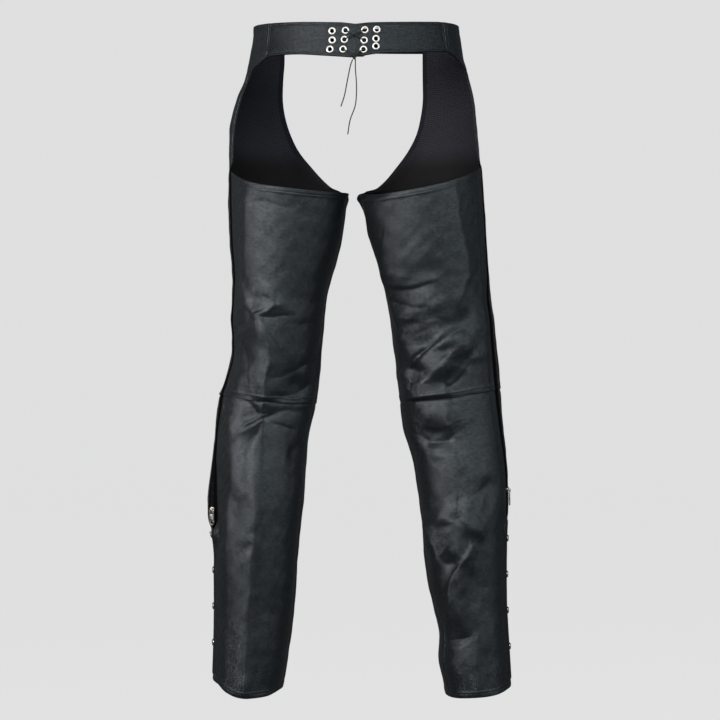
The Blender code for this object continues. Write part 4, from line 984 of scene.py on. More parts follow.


# The folds, listed one row each: height, left, right and crest, then the line's places.
BACK_FOLDS = (
    # left thigh
    (3.8, 26, 14, 2.5, (-168, -235, 0.4), (-169, -260), (-170, -322), (-172, -369), (-174, -400),
     (-166, -421, 1.2), (-153, -440)),
    (-1.1, 4, 7, 1.5, (-164, -268, 0), (-151, -262, 0.7), (-138, -262), (-126, -268), (-113, -272, 0.8),
     (-93, -277, 0)),
    (2.6, 3, 7, 1.2, (-147, -391, 0), (-135, -401, 0.6), (-128, -413), (-126, -423), (-134, -432),
     (-150, -440, 0.6)),
    (-4, 4, 26, 1.4, (-153, -447, 0.3), (-142, -444), (-129, -443), (-111, -440, 0.7), (-91, -441, 0)),
    (11, 18, 34, 1, (-155, -438, 0.2), (-148, -447, 0.7), (-141, -460, 0.8), (-136, -477, 0.8),
     (-133, -494, 0.8), (-134, -513, 0.9), (-138, -529), (-141, -544), (-142, -573, 0.9)),
    (-1.2, 8, 8, 2.5, (-111, -451, 0), (-86, -455), (-58, -450, 0.6)),
    (-3, 14, 7, 2, (-142, -540, 0.2), (-120, -537, 0.7), (-99, -529), (-77, -518), (-55, -499, 0.8)),
    (-2.2, 6, 7, 1.5, (-136, -565, 0), (-114, -568, 0.7), (-96, -565), (-79, -556), (-68, -545),
     (-56, -529, 0.6)),
    (1.2, 3, 3, 1, (-56, -535, 0.3), (-63, -548), (-67, -561), (-70, -573, 0.4)),
    (-1.4, 5, 5, 1.6, (-181, -467, 0), (-174, -490), (-166, -510, 0.7), (-164, -529, 0)),
    (1, 6, 6, 2, (-158, -463, 0), (-158, -494), (-163, -534), (-164, -570, 0.4)),
    (-5.5, 45, 60, 4, (-190, -573, 0.6), (-171, -576), (-152, -577), (-136, -579, 0.2)),
    (4, 30, 30, 3, (-139, -448, 0.4), (-117, -443), (-86, -444, 0.8), (-61, -447, 0.2)),
    # left calf
    (2.2, 3, 4, 1, (-151, -578, 0.8), (-149, -587), (-149, -599, 0.3)),
    (2.8, 4, 3, 1.2, (-147, -598, 0.6), (-158, -603), (-171, -609), (-183, -621, 0.3)),
    (-6, 15, 30, 1.2, (-145, -605, 0.3), (-155, -609, 0.8), (-167, -613), (-180, -620, 0.6),
     (-193, -626, 0.2)),
    (-3.5, 11, 9, 1.2, (-147, -602, 0.5), (-133, -598), (-117, -591), (-100, -590, 0.9),
     (-82, -594, 0.2)),
    (-1.8, 3, 4, 1.2, (-145, -604, 0.5), (-130, -609), (-110, -615), (-91, -622, 0)),
    (-2.2, 4, 3, 1.2, (-168, -576, 0.5), (-158, -585), (-150, -596, 0.5)),
    (2.8, 28, 11, 2.5, (-190, -617, 0.2), (-192, -643), (-192, -698), (-197, -737), (-199, -792, 0.8),
     (-204, -847, 0.2)),
    (2.9, 11, 24, 1.3, (-150, -610, 0.4), (-150, -643, 0.5), (-150, -689, 0.6), (-151, -728, 0.8),
     (-156, -759), (-157, -798), (-161, -825), (-162, -862), (-166, -884), (-169, -916), (-170, -963),
     (-172, -1009, 0.9), (-174, -1037, 0.6)),
    (-1.2, 10, 10, 2.5, (-164, -728, 0), (-179, -733), (-196, -729, 0.4)),
    (-1.4, 9, 9, 3, (-99, -612, 0), (-99, -651), (-100, -698), (-102, -745, 0.3)),
    # right thigh
    (4.5, 9, 26, 2.5, (154, -233, 0.4), (158, -261), (159, -284), (167, -323, 0.9), (174, -354, 0.9),
     (175, -377), (167, -401), (159, -424), (153, -444, 0.7), (149, -463, 0)),
    (2.2, 14, 12, 2, (52, -382, 0.2), (68, -391), (86, -393), (108, -388, 0.9), (126, -382, 0.2)),
    (-1.6, 2.5, 8, 1, (49, -385, 0.2), (58, -393), (77, -399), (99, -398), (117, -391, 0.7),
     (133, -387, 0)),
    (-2, 4, 9, 1.4, (60, -414, 0.2), (74, -422), (89, -427), (105, -429, 0.5), (117, -427, 0)),
    (1.6, 8, 9, 2, (66, -437, 0.3), (83, -446), (102, -446, 0.8), (117, -438, 0)),
    (-1, 7, 9, 2, (70, -478, 0.4), (90, -472), (111, -463), (133, -449, 0.5), (144, -441, 0)),
    (5, 20, 9, 3, (187, -450, 0.1), (168, -455, 0.4), (149, -460, 0.7), (135, -469), (122, -483),
     (112, -496), (96, -508, 0.7), (81, -505, 0.2)),
    (-4, 7, 12, 1.6, (183, -457, 0.3), (171, -461, 0.9), (155, -467), (139, -477), (125, -490),
     (113, -507, 0.8), (98, -524, 0.4), (81, -535, 0.1)),
    (4.2, 13, 20, 1.4, (187, -485, 0.3), (172, -494, 0.9), (157, -502, 0.9), (142, -510), (130, -523),
     (118, -538), (101, -548, 0.9), (84, -554, 0.4)),
    (2.4, 5, 4, 1.2, (166, -487, 0.4), (150, -499), (142, -508), (140, -523), (141, -541),
     (143, -560, 0.5)),
    (-4.5, 7, 26, 1.6, (181, -505, 0.2), (177, -519, 0.9), (169, -532), (158, -544), (147, -552),
     (141, -560, 0.5)),
    (1.6, 7, 7, 2, (206, -482, 0.2), (198, -504), (188, -523, 0.8), (180, -538, 0)),
    (1.3, 2.5, 3, 1, (67, -529, 0.3), (73, -540), (82, -551), (95, -563, 0.5)),
    (1.3, 3, 3, 1.2, (187, -221, 0.6), (191, -259), (194, -321), (198, -384), (205, -447, 0.8),
     (210, -494, 0.3)),
    (8, 40, 30, 3, (87, -564, 0.4), (102, -567), (121, -566), (140, -563, 0.8), (152, -562, 0.1)),
    (9, 40, 5, 3, (21, -263, 0.8), (30, -312), (46, -355), (57, -392), (65, -431, 0.8),
     (71, -471, 0.4)),
    (3, 22, 6, 2, (50, -322, 0.4), (52, -356), (54, -391), (56, -415, 0.3)),
    # right calf
    (2, 15, 4, 2, (107, -612, 0.5), (121, -615), (133, -615), (149, -610, 0.6)),
    (-6.5, 9, 20, 1.4, (102, -629, 0.3), (115, -637), (130, -638), (146, -636, 0.9), (157, -626, 0.3)),
    (1.5, 3, 3, 1, (143, -607, 0.2), (152, -616), (157, -629), (155, -648), (153, -666, 0.2)),
    (1.5, 7, 13, 2.5, (108, -648, 0.4), (124, -660), (144, -660, 0.9), (158, -649, 0.2)),
    (-2, 12, 9, 3, (96, -586, 0.2), (99, -620), (108, -645), (124, -670, 0.5)),
    (-1.4, 8, 8, 2.5, (142, -729, 0), (158, -730), (176, -727, 0.6), (189, -719, 0)),
    (-2.2, 6, 6, 1.5, (176, -722, 0), (192, -718, 0.8), (205, -709), (212, -695, 0.3)),
    (1.8, 8, 7, 2, (208, -707, 0.3), (199, -729), (192, -752), (189, -778, 0.5)),
    (7, 24, 40, 2.5, (127, -736, 0.2), (142, -755), (156, -763), (172, -761, 0.7), (181, -749, 0.1)),
    (3.2, 10, 4, 1.2, (167, -738, 0.3), (175, -758, 0.9), (182, -778), (183, -798), (176, -816),
     (164, -830), (155, -842), (149, -859), (147, -879, 0.8), (145, -918, 0.6), (145, -951, 0.2)),
    (-2.2, 8, 8, 2.5, (195, -783, 0), (191, -814), (186, -846), (186, -885, 0.4)),
    (1.5, 2.5, 3, 1, (106, -762, 0.4), (113, -779), (123, -802), (129, -820), (135, -837, 0.3)),
    (-5, 30, 14, 3, (130, -817, 0.5), (142, -829), (155, -830), (165, -819, 0.5)),
    (-1.5, 5, 5, 1.6, (145, -952, 0), (158, -949), (175, -945), (189, -938, 0)),
    (1.7, 9, 8, 2, (145, -963, 0.7), (161, -962), (180, -954, 0.4)),
    (2.2, 9, 22, 3, (192, -885, 0.3), (194, -947), (194, -1010), (192, -1036, 0.6)),
    (2.8, 22, 12, 2, (146, -570, 0.5), (147, -588), (149, -612), (152, -635, 0.3)),
    # short rows that level the plain walls' own folds where the leather lies flat
    (1.5, 5, 5, 10, (52, -373), (123, -383)),
    (7, 6.5, 6.5, 13, (172, -460, 0.6), (146, -477, 0.9), (105, -505)),
    (5.5, 5.5, 5.5, 11, (98, -515), (82, -534)),
    (5, 5, 5, 10, (188, -504), (152, -546)),
    (2.4, 4.5, 4.5, 9, (-145, -426, 0.6), (-119, -423)),
    (-1.2, 4.5, 4.5, 9, (-150, -411), (-129, -417)),
    (3, 6, 6, 12, (-175, -396), (-158, -431)),
    (-3.5, 5.5, 5.5, 11, (139, -500), (89, -547)),
    (-4.2, 6, 6, 12, (-164, -801), (-164, -804)),
    (-3.5, 5.5, 5.5, 11, (192, -791), (192, -794)),
    (-2, 5.5, 5.5, 11, (167, -828), (167, -831)),
    (3, 6, 6, 12, (133, -759), (178, -775)),
    (2.5, 8, 8, 6, (181, -507, 0.7), (146, -523)),
    (-3, 6, 6, 12, (69, -461), (129, -437), (152, -430, 0.6)),
)
FRONT_FOLDS = (
    # fronts of the left leg, from the hip down
    (2.4, 14, 10, 2, (-190, -80, 0.2), (-150, -130, 0.9), (-110, -190), (-80, -230, 0.3)),
    (-1.8, 9, 12, 1.6, (-205, -150, 0.2), (-172, -188, 0.9), (-134, -236, 0.8), (-112, -268, 0.2)),
    (2.6, 9, 15, 2, (-204, -328, 0.2), (-172, -345, 0.9), (-130, -353), (-88, -341, 0.3)),
    (-2, 8, 12, 1.6, (-208, -452, 0.2), (-176, -472, 0.9), (-138, -478), (-100, -465, 0.3)),
    (3.2, 10, 17, 2, (-212, -540, 0.2), (-184, -558, 0.8), (-150, -567), (-112, -557, 0.9),
     (-82, -538, 0.2)),
    (-2.4, 6, 9, 1.5, (-206, -584, 0.3), (-176, -597), (-141, -600, 0.9), (-106, -588, 0.3)),
    (2, 5, 8, 1.2, (-201, -617, 0.2), (-172, -627, 0.9), (-149, -622, 0.3)),
    (2.4, 13, 9, 2, (-163, -668, 0.3), (-159, -742), (-165, -828, 0.8), (-172, -902, 0.2)),
    (-2.6, 9, 13, 1.6, (-211, -898, 0.2), (-181, -913), (-146, -919, 0.9), (-106, -904, 0.3)),
    (2.1, 6, 9, 1.4, (-205, -950, 0.2), (-171, -963), (-132, -958, 0.8), (-106, -947, 0.2)),
    # fronts of the right leg
    (2.8, 12, 16, 2.2, (182, -70, 0.2), (146, -118), (112, -170, 0.8), (84, -214, 0.2)),
    (-1.6, 8, 10, 1.5, (202, -180, 0.2), (168, -214), (128, -246, 0.7), (104, -258, 0.2)),
    (2.2, 11, 13, 1.8, (200, -372, 0.2), (164, -392), (126, -394, 0.8), (94, -380, 0.2)),
    (-2.6, 9, 11, 1.7, (206, -498, 0.3), (176, -517), (138, -520, 0.8), (106, -505, 0.2)),
    (3.4, 12, 16, 2.2, (214, -560, 0.3), (186, -580), (150, -590), (116, -578, 0.6)),
    (-2, 6, 8, 1.4, (210, -607, 0.2), (184, -620, 0.8), (156, -624), (126, -614, 0.3)),
    (1.8, 5, 7, 1.2, (214, -640, 0.2), (190, -650, 0.9), (168, -646, 0.2)),
    (-2.2, 10, 14, 1.8, (178, -690, 0.3), (172, -760), (180, -836, 0.7), (186, -880, 0.2)),
    (2.8, 8, 12, 1.7, (226, -872, 0.2), (200, -892), (164, -901, 0.9), (122, -888, 0.2)),
    (-2.2, 7, 9, 1.5, (228, -938, 0.2), (196, -950), (158, -955, 0.8), (126, -944, 0.2)),
)
CREASES = tuple(Crease(*row[:4], line=row[4:], face=face)
                for face, rows in ((1, BACK_FOLDS), (-1, FRONT_FOLDS)) for row in rows)


def ripple(points: np.ndarray) -> np.ndarray:
    """Slow unevenness of the hide in millimetres, a fixed sum of long waves."""
    waves = ((0.30, 118, (0.3, 0.5, 1.0), 0.4), (0.24, 83, (1.0, 0.2, 0.45), 1.9),
             (0.17, 57, (-0.8, 0.4, 0.9), 4.1), (0.13, 41, (0.7, -0.5, 1.1), 2.7),
             (0.09, 27, (1.1, 0.6, -0.7), 5.3), (0.07, 19, (-0.5, 1.0, 0.9), 0.9))
    total = np.zeros(points.shape[:-1])
    for height, length, direction, phase in waves:
        total += height * np.sin(points @ np.array(direction) * (2 * math.pi / length) + phase)
    return total


# ---- Sewing ----

class Machine:
    """Lays one small shape again and again along a line, with one Geometry Nodes tree."""

    def __init__(self, name: str, sockets: dict[str, str]) -> None:
        """Starts the tree: evenly spaced places on the line, and the line's direction at each.

        Args:
            name: the tree's name.
            sockets: its inputs beside the line, each with its type. Pitch is one of them.
        """
        self.tree = bpy.data.node_groups.new(name, "GeometryNodeTree")
        face = self.tree.interface
        face.new_socket("Line", in_out="INPUT", socket_type="NodeSocketGeometry")
        self.sockets = {title: face.new_socket(title, in_out="INPUT", socket_type=kind).identifier
                        for title, kind in sockets.items()}
        face.new_socket("Laid", in_out="OUTPUT", socket_type="NodeSocketGeometry")
        self.given = add(self.tree, "NodeGroupInput").outputs
        path = add(self.tree, "GeometryNodeMeshToCurve", {"Mesh": self.given["Line"]})
        self.steps = add(self.tree, "GeometryNodeResampleCurve", {
            "Curve": path, "Length": self.given["Pitch"]}, mode="LENGTH")
        self.along = add(self.tree, "FunctionNodeAlignRotationToVector", {
            "Vector": add(self.tree, "GeometryNodeInputTangent")}, axis="Z")

    def finish(self, material: Material, inputs: dict) -> None:
        """Lays the shape at each place and gives it its finish.

        Args:
            material: the finish.
            inputs: the shape as "Instance", with its "Rotation" and "Scale".
        """
        laid = add(self.tree, "GeometryNodeInstanceOnPoints", {"Points": self.steps, **inputs})
        real = add(self.tree, "GeometryNodeRealizeInstances", {"Geometry": laid})
        dyed = add(self.tree, "GeometryNodeSetMaterial", {"Geometry": real, "Material": material})
        add(self.tree, "NodeGroupOutput", {"Laid": dyed})

    def run(self, piece: Object, values: dict) -> Object:
        """Runs the tree on a piece that is a line, with a value for each of its inputs.

        Args:
            piece: the line.
            values: what each input gets, by its name.

        Returns:
            The same piece, which now holds what was laid.
        """
        modifier = piece.modifiers.new("machine", "NODES")
        modifier.node_group = self.tree
        for title, value in values.items():
            modifier[self.sockets[title]] = value
        return baked(piece)


class StitchMachine(Machine):
    """Sews rows of stitches."""

    PITCH, THREAD, SHOWN = 3.6, 0.62, 0.72     # stitch length, thread width, share that shows

    def __init__(self, thread: Material) -> None:
        """Builds the tree, with a stretched bead as the stitch.

        Args:
            thread: the thread's finish.
        """
        super().__init__("stitch_row", dict.fromkeys(("Pitch", "Thread", "Shown"),
                                                     "NodeSocketFloat"))
        length = add(self.tree, "ShaderNodeMath", {
            0: self.given["Pitch"], 1: self.given["Shown"]}, operation="MULTIPLY")
        half = add(self.tree, "ShaderNodeMath", {
            0: self.given["Thread"], 1: 0.5}, operation="MULTIPLY")
        bead = add(self.tree, "GeometryNodeMeshUVSphere", {
            "Segments": 6, "Rings": 4, "Radius": 1.0})
        size = add(self.tree, "ShaderNodeCombineXYZ", {"X": half, "Y": half, "Z": length})
        halved = add(self.tree, "ShaderNodeVectorMath", {
            0: size, 1: (1, 1, 0.5)}, operation="MULTIPLY")
        self.finish(thread, {"Instance": bead, "Rotation": self.along, "Scale": halved})

    def sew(self, name: str, seams: Sequence[np.ndarray]) -> Object:
        """Sews rows of stitches along seams and makes them one plain mesh.

        Args:
            name: the piece's name.
            seams: the points of each row in metres, on the leather's surface.

        Returns:
            The stitches as one plain mesh.
        """
        points = np.vstack(seams)
        edges, first = [], 0
        for seam in seams:
            edges += [(first + k, first + k + 1) for k in range(len(seam) - 1)]
            first += len(seam)
        mesh = bpy.data.meshes.new(name)
        mesh.from_pydata([tuple(p) for p in points], edges, [])
        piece = placed(name, mesh)
        self.run(piece, {"Pitch": self.PITCH * MM, "Thread": self.THREAD * MM,
                         "Shown": self.SHOWN})
        piece.data.shade_smooth()
        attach(piece, CHAPS)
        return piece


# ---- Cut pieces ----

@dataclass
class Edges:
    """The finish of a cut piece's four edges. Start is its first column and end its last.

    Where low_start is given, it takes over from start at the given row.
    """

    top: Edge = Edge.PLAIN
    bottom: Edge = Edge.PLAIN
    start: Edge = Edge.PLAIN
    end: Edge = Edge.PLAIN
    low_start: Edge | None = None
    turn_row: int = 0


@dataclass
class CutPiece:
    """One cut piece of leather or cloth: a thin shell on its wall, with worked edges."""

    node: str
    wall: Wall
    material: Material
    edges: Edges = field(default_factory=Edges)
    slot: str = "leather"
    stitch_in: float = 7.0       # topstitching this far from an edge
    lap_lift: float = 0.6        # a lapped or turned edge stands this far proud
    groove: float = 0.45         # the thread pulls the leather down by this much
    tuck: float = 7.0            # a tucked edge runs this far under its neighbour
    creased: bool = True
    rippled: float = 1.0
    fine: float = 0.8            # spacing of the shell's points near a worked edge
    coarse: float = 1.9          # over its middle
    inside: float = 4.5          # and on its inner face
    border: float = 12.0         # width of the fine strip along a worked edge
    groove_reach: float = 1.1    # over this far on each side of it
    tuck_drop: float = 0.7       # a tucked edge drops by this much under its neighbour
    seam_reach: float = 0.15     # a seamed edge runs on by this much
    roll: float = 1.1            # and rolls in by this much, over as far
    fold_drop: float = 0.8       # the round of a turned or lapped edge drops by this much
    fold_reach: float = 1.4      # over this far
    margin: float = 9.0          # creases and ripples fade out over this far from the rim
    holes: tuple[np.ndarray, ...] = ()
    hole: float = 4.3            # radius of a hole in it
    filling: float = 0.4         # share of a ridge's height that the hide is thicker by
    rub: float = 0.06            # wear for each millimetre of height
    rub_most: float = 0.3

    def __post_init__(self) -> None:
        """Carries the edges on to where the next piece takes over, and fits the surface."""
        reach = {Edge.TUCKED: self.tuck, Edge.SEAMED: self.seam_reach}
        kinds = {"top": self.edges.top, "bottom": self.edges.bottom,
                 "start": self.edges.low_start or self.edges.start, "end": self.edges.end}
        rows = self.edges.turn_row + (1 if self.edges.top is Edge.TUCKED else 0)
        self.wall = self.wall.extended(**{edge: reach.get(kind, 0) for edge, kind in kinds.items()})
        self.surface = Surface(self.wall.outer, self.wall.outer - self.wall.inner)
        self.turn = float(self.surface.t[rows])

    def samples(self, length: float, low: Edge, high: Edge, step: float, fine: float) -> np.ndarray:
        """Places along one direction, close together near worked edges.

        Args:
            length: how far it runs, in metres.
            low: finish of the edge where it starts.
            high: finish of the edge where it ends.
            step: the usual spacing in millimetres.
            fine: the spacing near a worked edge.

        Returns:
            The places in metres.
        """
        border = min(self.border * MM, length / 4)

        def run(start: float, stop: float, size: float) -> np.ndarray:
            """Even places from start up to stop, about size millimetres apart."""
            return np.linspace(start, stop, max(2, round((stop - start) / size / MM) + 1))[:-1]

        low_step = step if low is Edge.PLAIN else fine
        high_step = step if high is Edge.PLAIN else fine
        return np.concatenate([run(0, border, low_step), run(border, length - border, step),
                               run(length - border, length, high_step), [length]])

    def worked(self, kind: Edge, inset: np.ndarray) -> np.ndarray:
        """Height in millimetres that an edge's finish adds, by the distance from the edge.

        Args:
            kind: the finish.
            inset: distances from the edge in millimetres.

        Returns:
            One height for each distance.
        """
        if kind is Edge.PLAIN:
            return np.zeros_like(inset)
        if kind is Edge.TUCKED:
            return (-self.tuck_drop * smoothstep(self.tuck + 6, self.tuck, inset)
                    - smoothstep(self.tuck, self.tuck - 2, inset))
        if kind is Edge.SEAMED:
            return -self.roll * np.exp(-inset / self.roll)
        lift = self.lap_lift * smoothstep(self.stitch_in + 5, self.stitch_in + 1, inset)
        bend = 1 - np.minimum(inset, self.fold_reach) / self.fold_reach
        rounding = self.fold_drop * (1 - np.sqrt(np.clip(1 - bend ** 2, 0, 1)))
        sewn = np.exp(-((inset - self.stitch_in) / self.groove_reach) ** 2)
        return lift - rounding - self.groove * sewn

    def relief(self, s: np.ndarray, t: np.ndarray, places: np.ndarray,
               facing: np.ndarray) -> np.ndarray:
        """Outward height of the worked surface over the plain one, in millimetres.

        Args:
            s: places across.
            t: places down.
            places: the plain surface's points there.
            facing: how much each faces back, from -1 to 1.

        Returns:
            One height for each place.
        """
        width, height = self.surface.size
        millimetres = places.reshape(-1, 3) / MM
        total = (ripple(millimetres) * self.rippled).reshape(s.shape)
        if self.creased:
            back = facing.ravel()
            total += sum(c.relief(millimetres, back) for c in CREASES).reshape(s.shape)
        quiet = np.minimum(np.minimum(s, width - s), np.minimum(t, height - t)) / MM
        total = total * smoothstep(0, self.margin, quiet)
        upper = smoothstep(self.turn + 8 * MM, self.turn - 2 * MM, t)
        if self.edges.low_start is None:
            total += self.worked(self.edges.start, s / MM)
        else:
            total += (self.worked(self.edges.start, s / MM) * upper
                      + self.worked(self.edges.low_start, s / MM) * (1 - upper))
        return (total + self.worked(self.edges.end, (width - s) / MM)
                + self.worked(self.edges.top, t / MM)
                + self.worked(self.edges.bottom, (height - t) / MM))

    def lifted(self, s: np.ndarray, t: np.ndarray) -> tuple[np.ndarray, np.ndarray, np.ndarray]:
        """Worked points, plain normals and heights at places across and down."""
        plain = self.surface.at(s, t)
        normal = self.surface.normals(s, t)
        height = self.relief(s, t, plain, -normal[..., 1])
        return plain + normal * (height * MM)[..., None], normal, height

    def grid(self, step: float, fine: float) -> tuple[np.ndarray, np.ndarray]:
        """Places across and down for a net with the given spacings in millimetres."""
        width, length = self.surface.size
        slow = 1
        side = self.edges.low_start or self.edges.start
        return np.meshgrid(
            self.samples(width, side, self.edges.end, step * slow, fine),
            self.samples(length, self.edges.top, self.edges.bottom, step * slow, fine))

    def build(self) -> Object:
        """Builds the shell, in place of its node."""
        s, t = self.grid(self.coarse, self.fine)
        outer, normal, height = self.lifted(s, t)
        quads = net(*s.shape)
        if self.holes:
            corner = outer.reshape(-1, 3)[quads].mean(1)
            quads = quads[[min(np.linalg.norm(c - h) for h in self.holes) > self.hole * MM
                           for c in corner]]
            inner_s, inner_t, inner_quads = s, t, quads
        else:
            inner_s, inner_t = self.grid(self.inside, self.inside)
            inner_quads = net(*inner_s.shape)
        count = s.size
        back, normal, depth = self.lifted(inner_s, inner_t)
        shrink = self.wall.thickness + np.maximum(depth * MM, 0) * self.filling
        inner = back - normal * shrink[..., None]
        if self.surface.turn < 0:
            quads, inner_quads = quads[:, ::-1], inner_quads[:, ::-1]
        if self.holes:
            band = rim_band(quads, count)
        else:
            band = zipped(ring(*s.shape), ring(*inner_s.shape) + count,
                          np.vstack([outer.reshape(-1, 3), inner.reshape(-1, 3)]))
            if self.surface.turn < 0:
                band = band[:, ::-1]
        faces = quads.tolist() + (inner_quads[:, ::-1] + count).tolist() + band.tolist()
        uv = np.vstack([np.stack([a, -b], -1).reshape(-1, 2)
                        for a, b in ((s, t), (inner_s, inner_t))])
        piece = mesh_object(f"{self.node}_cut", np.vstack([outer.reshape(-1, 3),
                                                          inner.reshape(-1, 3)]),
                            faces, self.material, uv)
        rubbed = np.clip(height * self.rub, 0, self.rub_most).ravel()
        hidden = np.zeros(depth.size)
        for name, values in (("wear", [rubbed, hidden]), ("flesh", [rubbed * 0, hidden + 1])):
            layer = piece.data.attributes.new(name, "FLOAT", "POINT")
            layer.data.foreach_set("value", np.concatenate(values).astype(np.float32))
        soften(piece, 50)
        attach(piece, CHAPS)
        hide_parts(self.node)
        self.surface.area()
        return piece

    def row(self, edge: str, inset: float, low: float = 0.0, high: float = 1.0) -> np.ndarray:
        """Points of a row of stitches along an edge.

        Args:
            edge: top, bottom, start or end.
            inset: distance from the edge in millimetres.
            low: share of the edge's length where it starts.
            high: share where it ends.

        Returns:
            Points just proud of the leather, in metres.
        """
        width, length = self.surface.size
        run = np.linspace(low, high, 200)
        if edge in ("top", "bottom"):
            s = run * width
            t = np.full_like(run, inset * MM if edge == "top" else length - inset * MM)
        else:
            t = run * length
            s = np.full_like(run, inset * MM if edge == "start" else width - inset * MM)
        places, normal, _ = self.lifted(s, t)
        return places + normal * (0.1 * MM)

    def seams(self) -> list[np.ndarray]:
        """The rows of topstitching that its edges have."""
        width, length = self.surface.size
        rows = []
        for edge in ("top", "bottom", "start", "end"):
            kind = getattr(self.edges, edge)
            if kind in (Edge.LAPPED, Edge.TURNED):
                across = width if edge in ("top", "bottom") else length
                margin = min(0.4, 1.5 * MM / across)
                split = edge == "start" and self.edges.low_start
                high = self.turn / length if split else 1 - margin
                rows.append(self.row(edge, self.stitch_in, margin, high))
        return rows


def net(rows: int, columns: int) -> np.ndarray:
    """The four vertex numbers of every cell of a net."""
    number = np.arange(rows * columns).reshape(rows, columns)
    return np.stack([number[:-1, :-1], number[:-1, 1:], number[1:, 1:], number[1:, :-1]],
                    -1).reshape(-1, 4)


def ring(rows: int, columns: int) -> np.ndarray:
    """Vertex numbers round the rim of a net, from its first corner along its first row."""
    number = np.arange(rows * columns).reshape(rows, columns)
    return np.concatenate([number[0, :-1], number[:-1, -1], number[-1, :0:-1], number[:0:-1, 0]])


def rim_band(quads: np.ndarray, count: int) -> np.ndarray:
    """Faces that join every open edge of one layer to the same edge of the next."""
    start, stop = quads.ravel(), np.roll(quads, -1, axis=1).ravel()
    alone = ~np.isin(stop * count + start, start * count + stop)
    start, stop = start[alone], stop[alone]
    return np.stack([stop, start, start + count, stop + count], -1)


def zipped(outer: np.ndarray, inner: np.ndarray, points: np.ndarray) -> np.ndarray:
    """Triangles between two rims that run side by side with different spacings.

    Args:
        outer: vertex numbers round one rim.
        inner: and round the other, from the same corner.
        points: every vertex's place.

    Returns:
        Three vertex numbers for each triangle.
    """
    shares = []
    for rim in (outer, inner):
        steps = np.linalg.norm(points[np.roll(rim, -1)] - points[rim], axis=1)
        shares.append(np.concatenate([[0], np.cumsum(steps)]) / steps.sum())
    faces, i, j = [], 0, 0
    while i < len(outer) or j < len(inner):
        a, b = outer[i % len(outer)], inner[j % len(inner)]
        if j == len(inner) or (i < len(outer) and shares[0][i + 1] <= shares[1][j + 1]):
            i += 1
            faces.append((a, b, outer[i % len(outer)]))
        else:
            j += 1
            faces.append((a, b, inner[j % len(inner)]))
    return np.array(faces)


# ---- Zips and snaps ----

class ChainMachine(Machine):
    """Sets zip teeth."""

    PITCH = 2.8
    TOOTH = (1.9, 3.4, 1.25)      # rise, reach across, and length along the chain
    ROUND = 0.32                  # how far a tooth's edges are taken off

    def __init__(self, material: Material) -> None:
        """Builds the tooth, and the tree that turns it outward.

        Args:
            material: the teeth's finish.
        """
        work = bmesh.new()
        bmesh.ops.create_cube(work, size=1.0)
        bmesh.ops.scale(work, vec=[side * MM for side in self.TOOTH], verts=work.verts)
        bmesh.ops.bevel(work, geom=work.edges[:], offset=self.ROUND * MM, segments=1,
                        affect="EDGES")
        mesh = mesh_of(work, "tooth")
        mesh.materials.append(material)
        self.tooth = bpy.data.objects.new("tooth", mesh)
        super().__init__("zip_chain", {"Pitch": "NodeSocketFloat", "Tooth": "NodeSocketObject"})
        outward = add(self.tree, "GeometryNodeInputNamedAttribute", {
            "Name": "outward"}, data_type="FLOAT_VECTOR")
        turn = add(self.tree, "FunctionNodeAlignRotationToVector", {
            "Rotation": self.along, "Vector": outward.outputs["Attribute"]}, axis="X",
            pivot_axis="Z")
        tooth = add(self.tree, "GeometryNodeObjectInfo", {"Object": self.given["Tooth"]})
        self.finish(material, {"Instance": tooth.outputs["Geometry"], "Rotation": turn})

    def set(self, name: str, line: np.ndarray, outward: np.ndarray) -> Object:
        """Sets one row of teeth.

        Args:
            name: the piece's name.
            line: points through the middles of the teeth in metres.
            outward: which way the chain faces at each.

        Returns:
            The teeth as one plain mesh.
        """
        mesh = bpy.data.meshes.new(name)
        mesh.from_pydata([tuple(p) for p in line], [(k, k + 1) for k in range(len(line) - 1)], [])
        facing = mesh.attributes.new("outward", "FLOAT_VECTOR", "POINT")
        facing.data.foreach_set("vector", outward.astype(np.float32).ravel())
        piece = placed(name, mesh)
        self.run(piece, {"Pitch": self.PITCH * MM, "Tooth": self.tooth})
        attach(soften(piece, 30), CHAPS)
        return piece


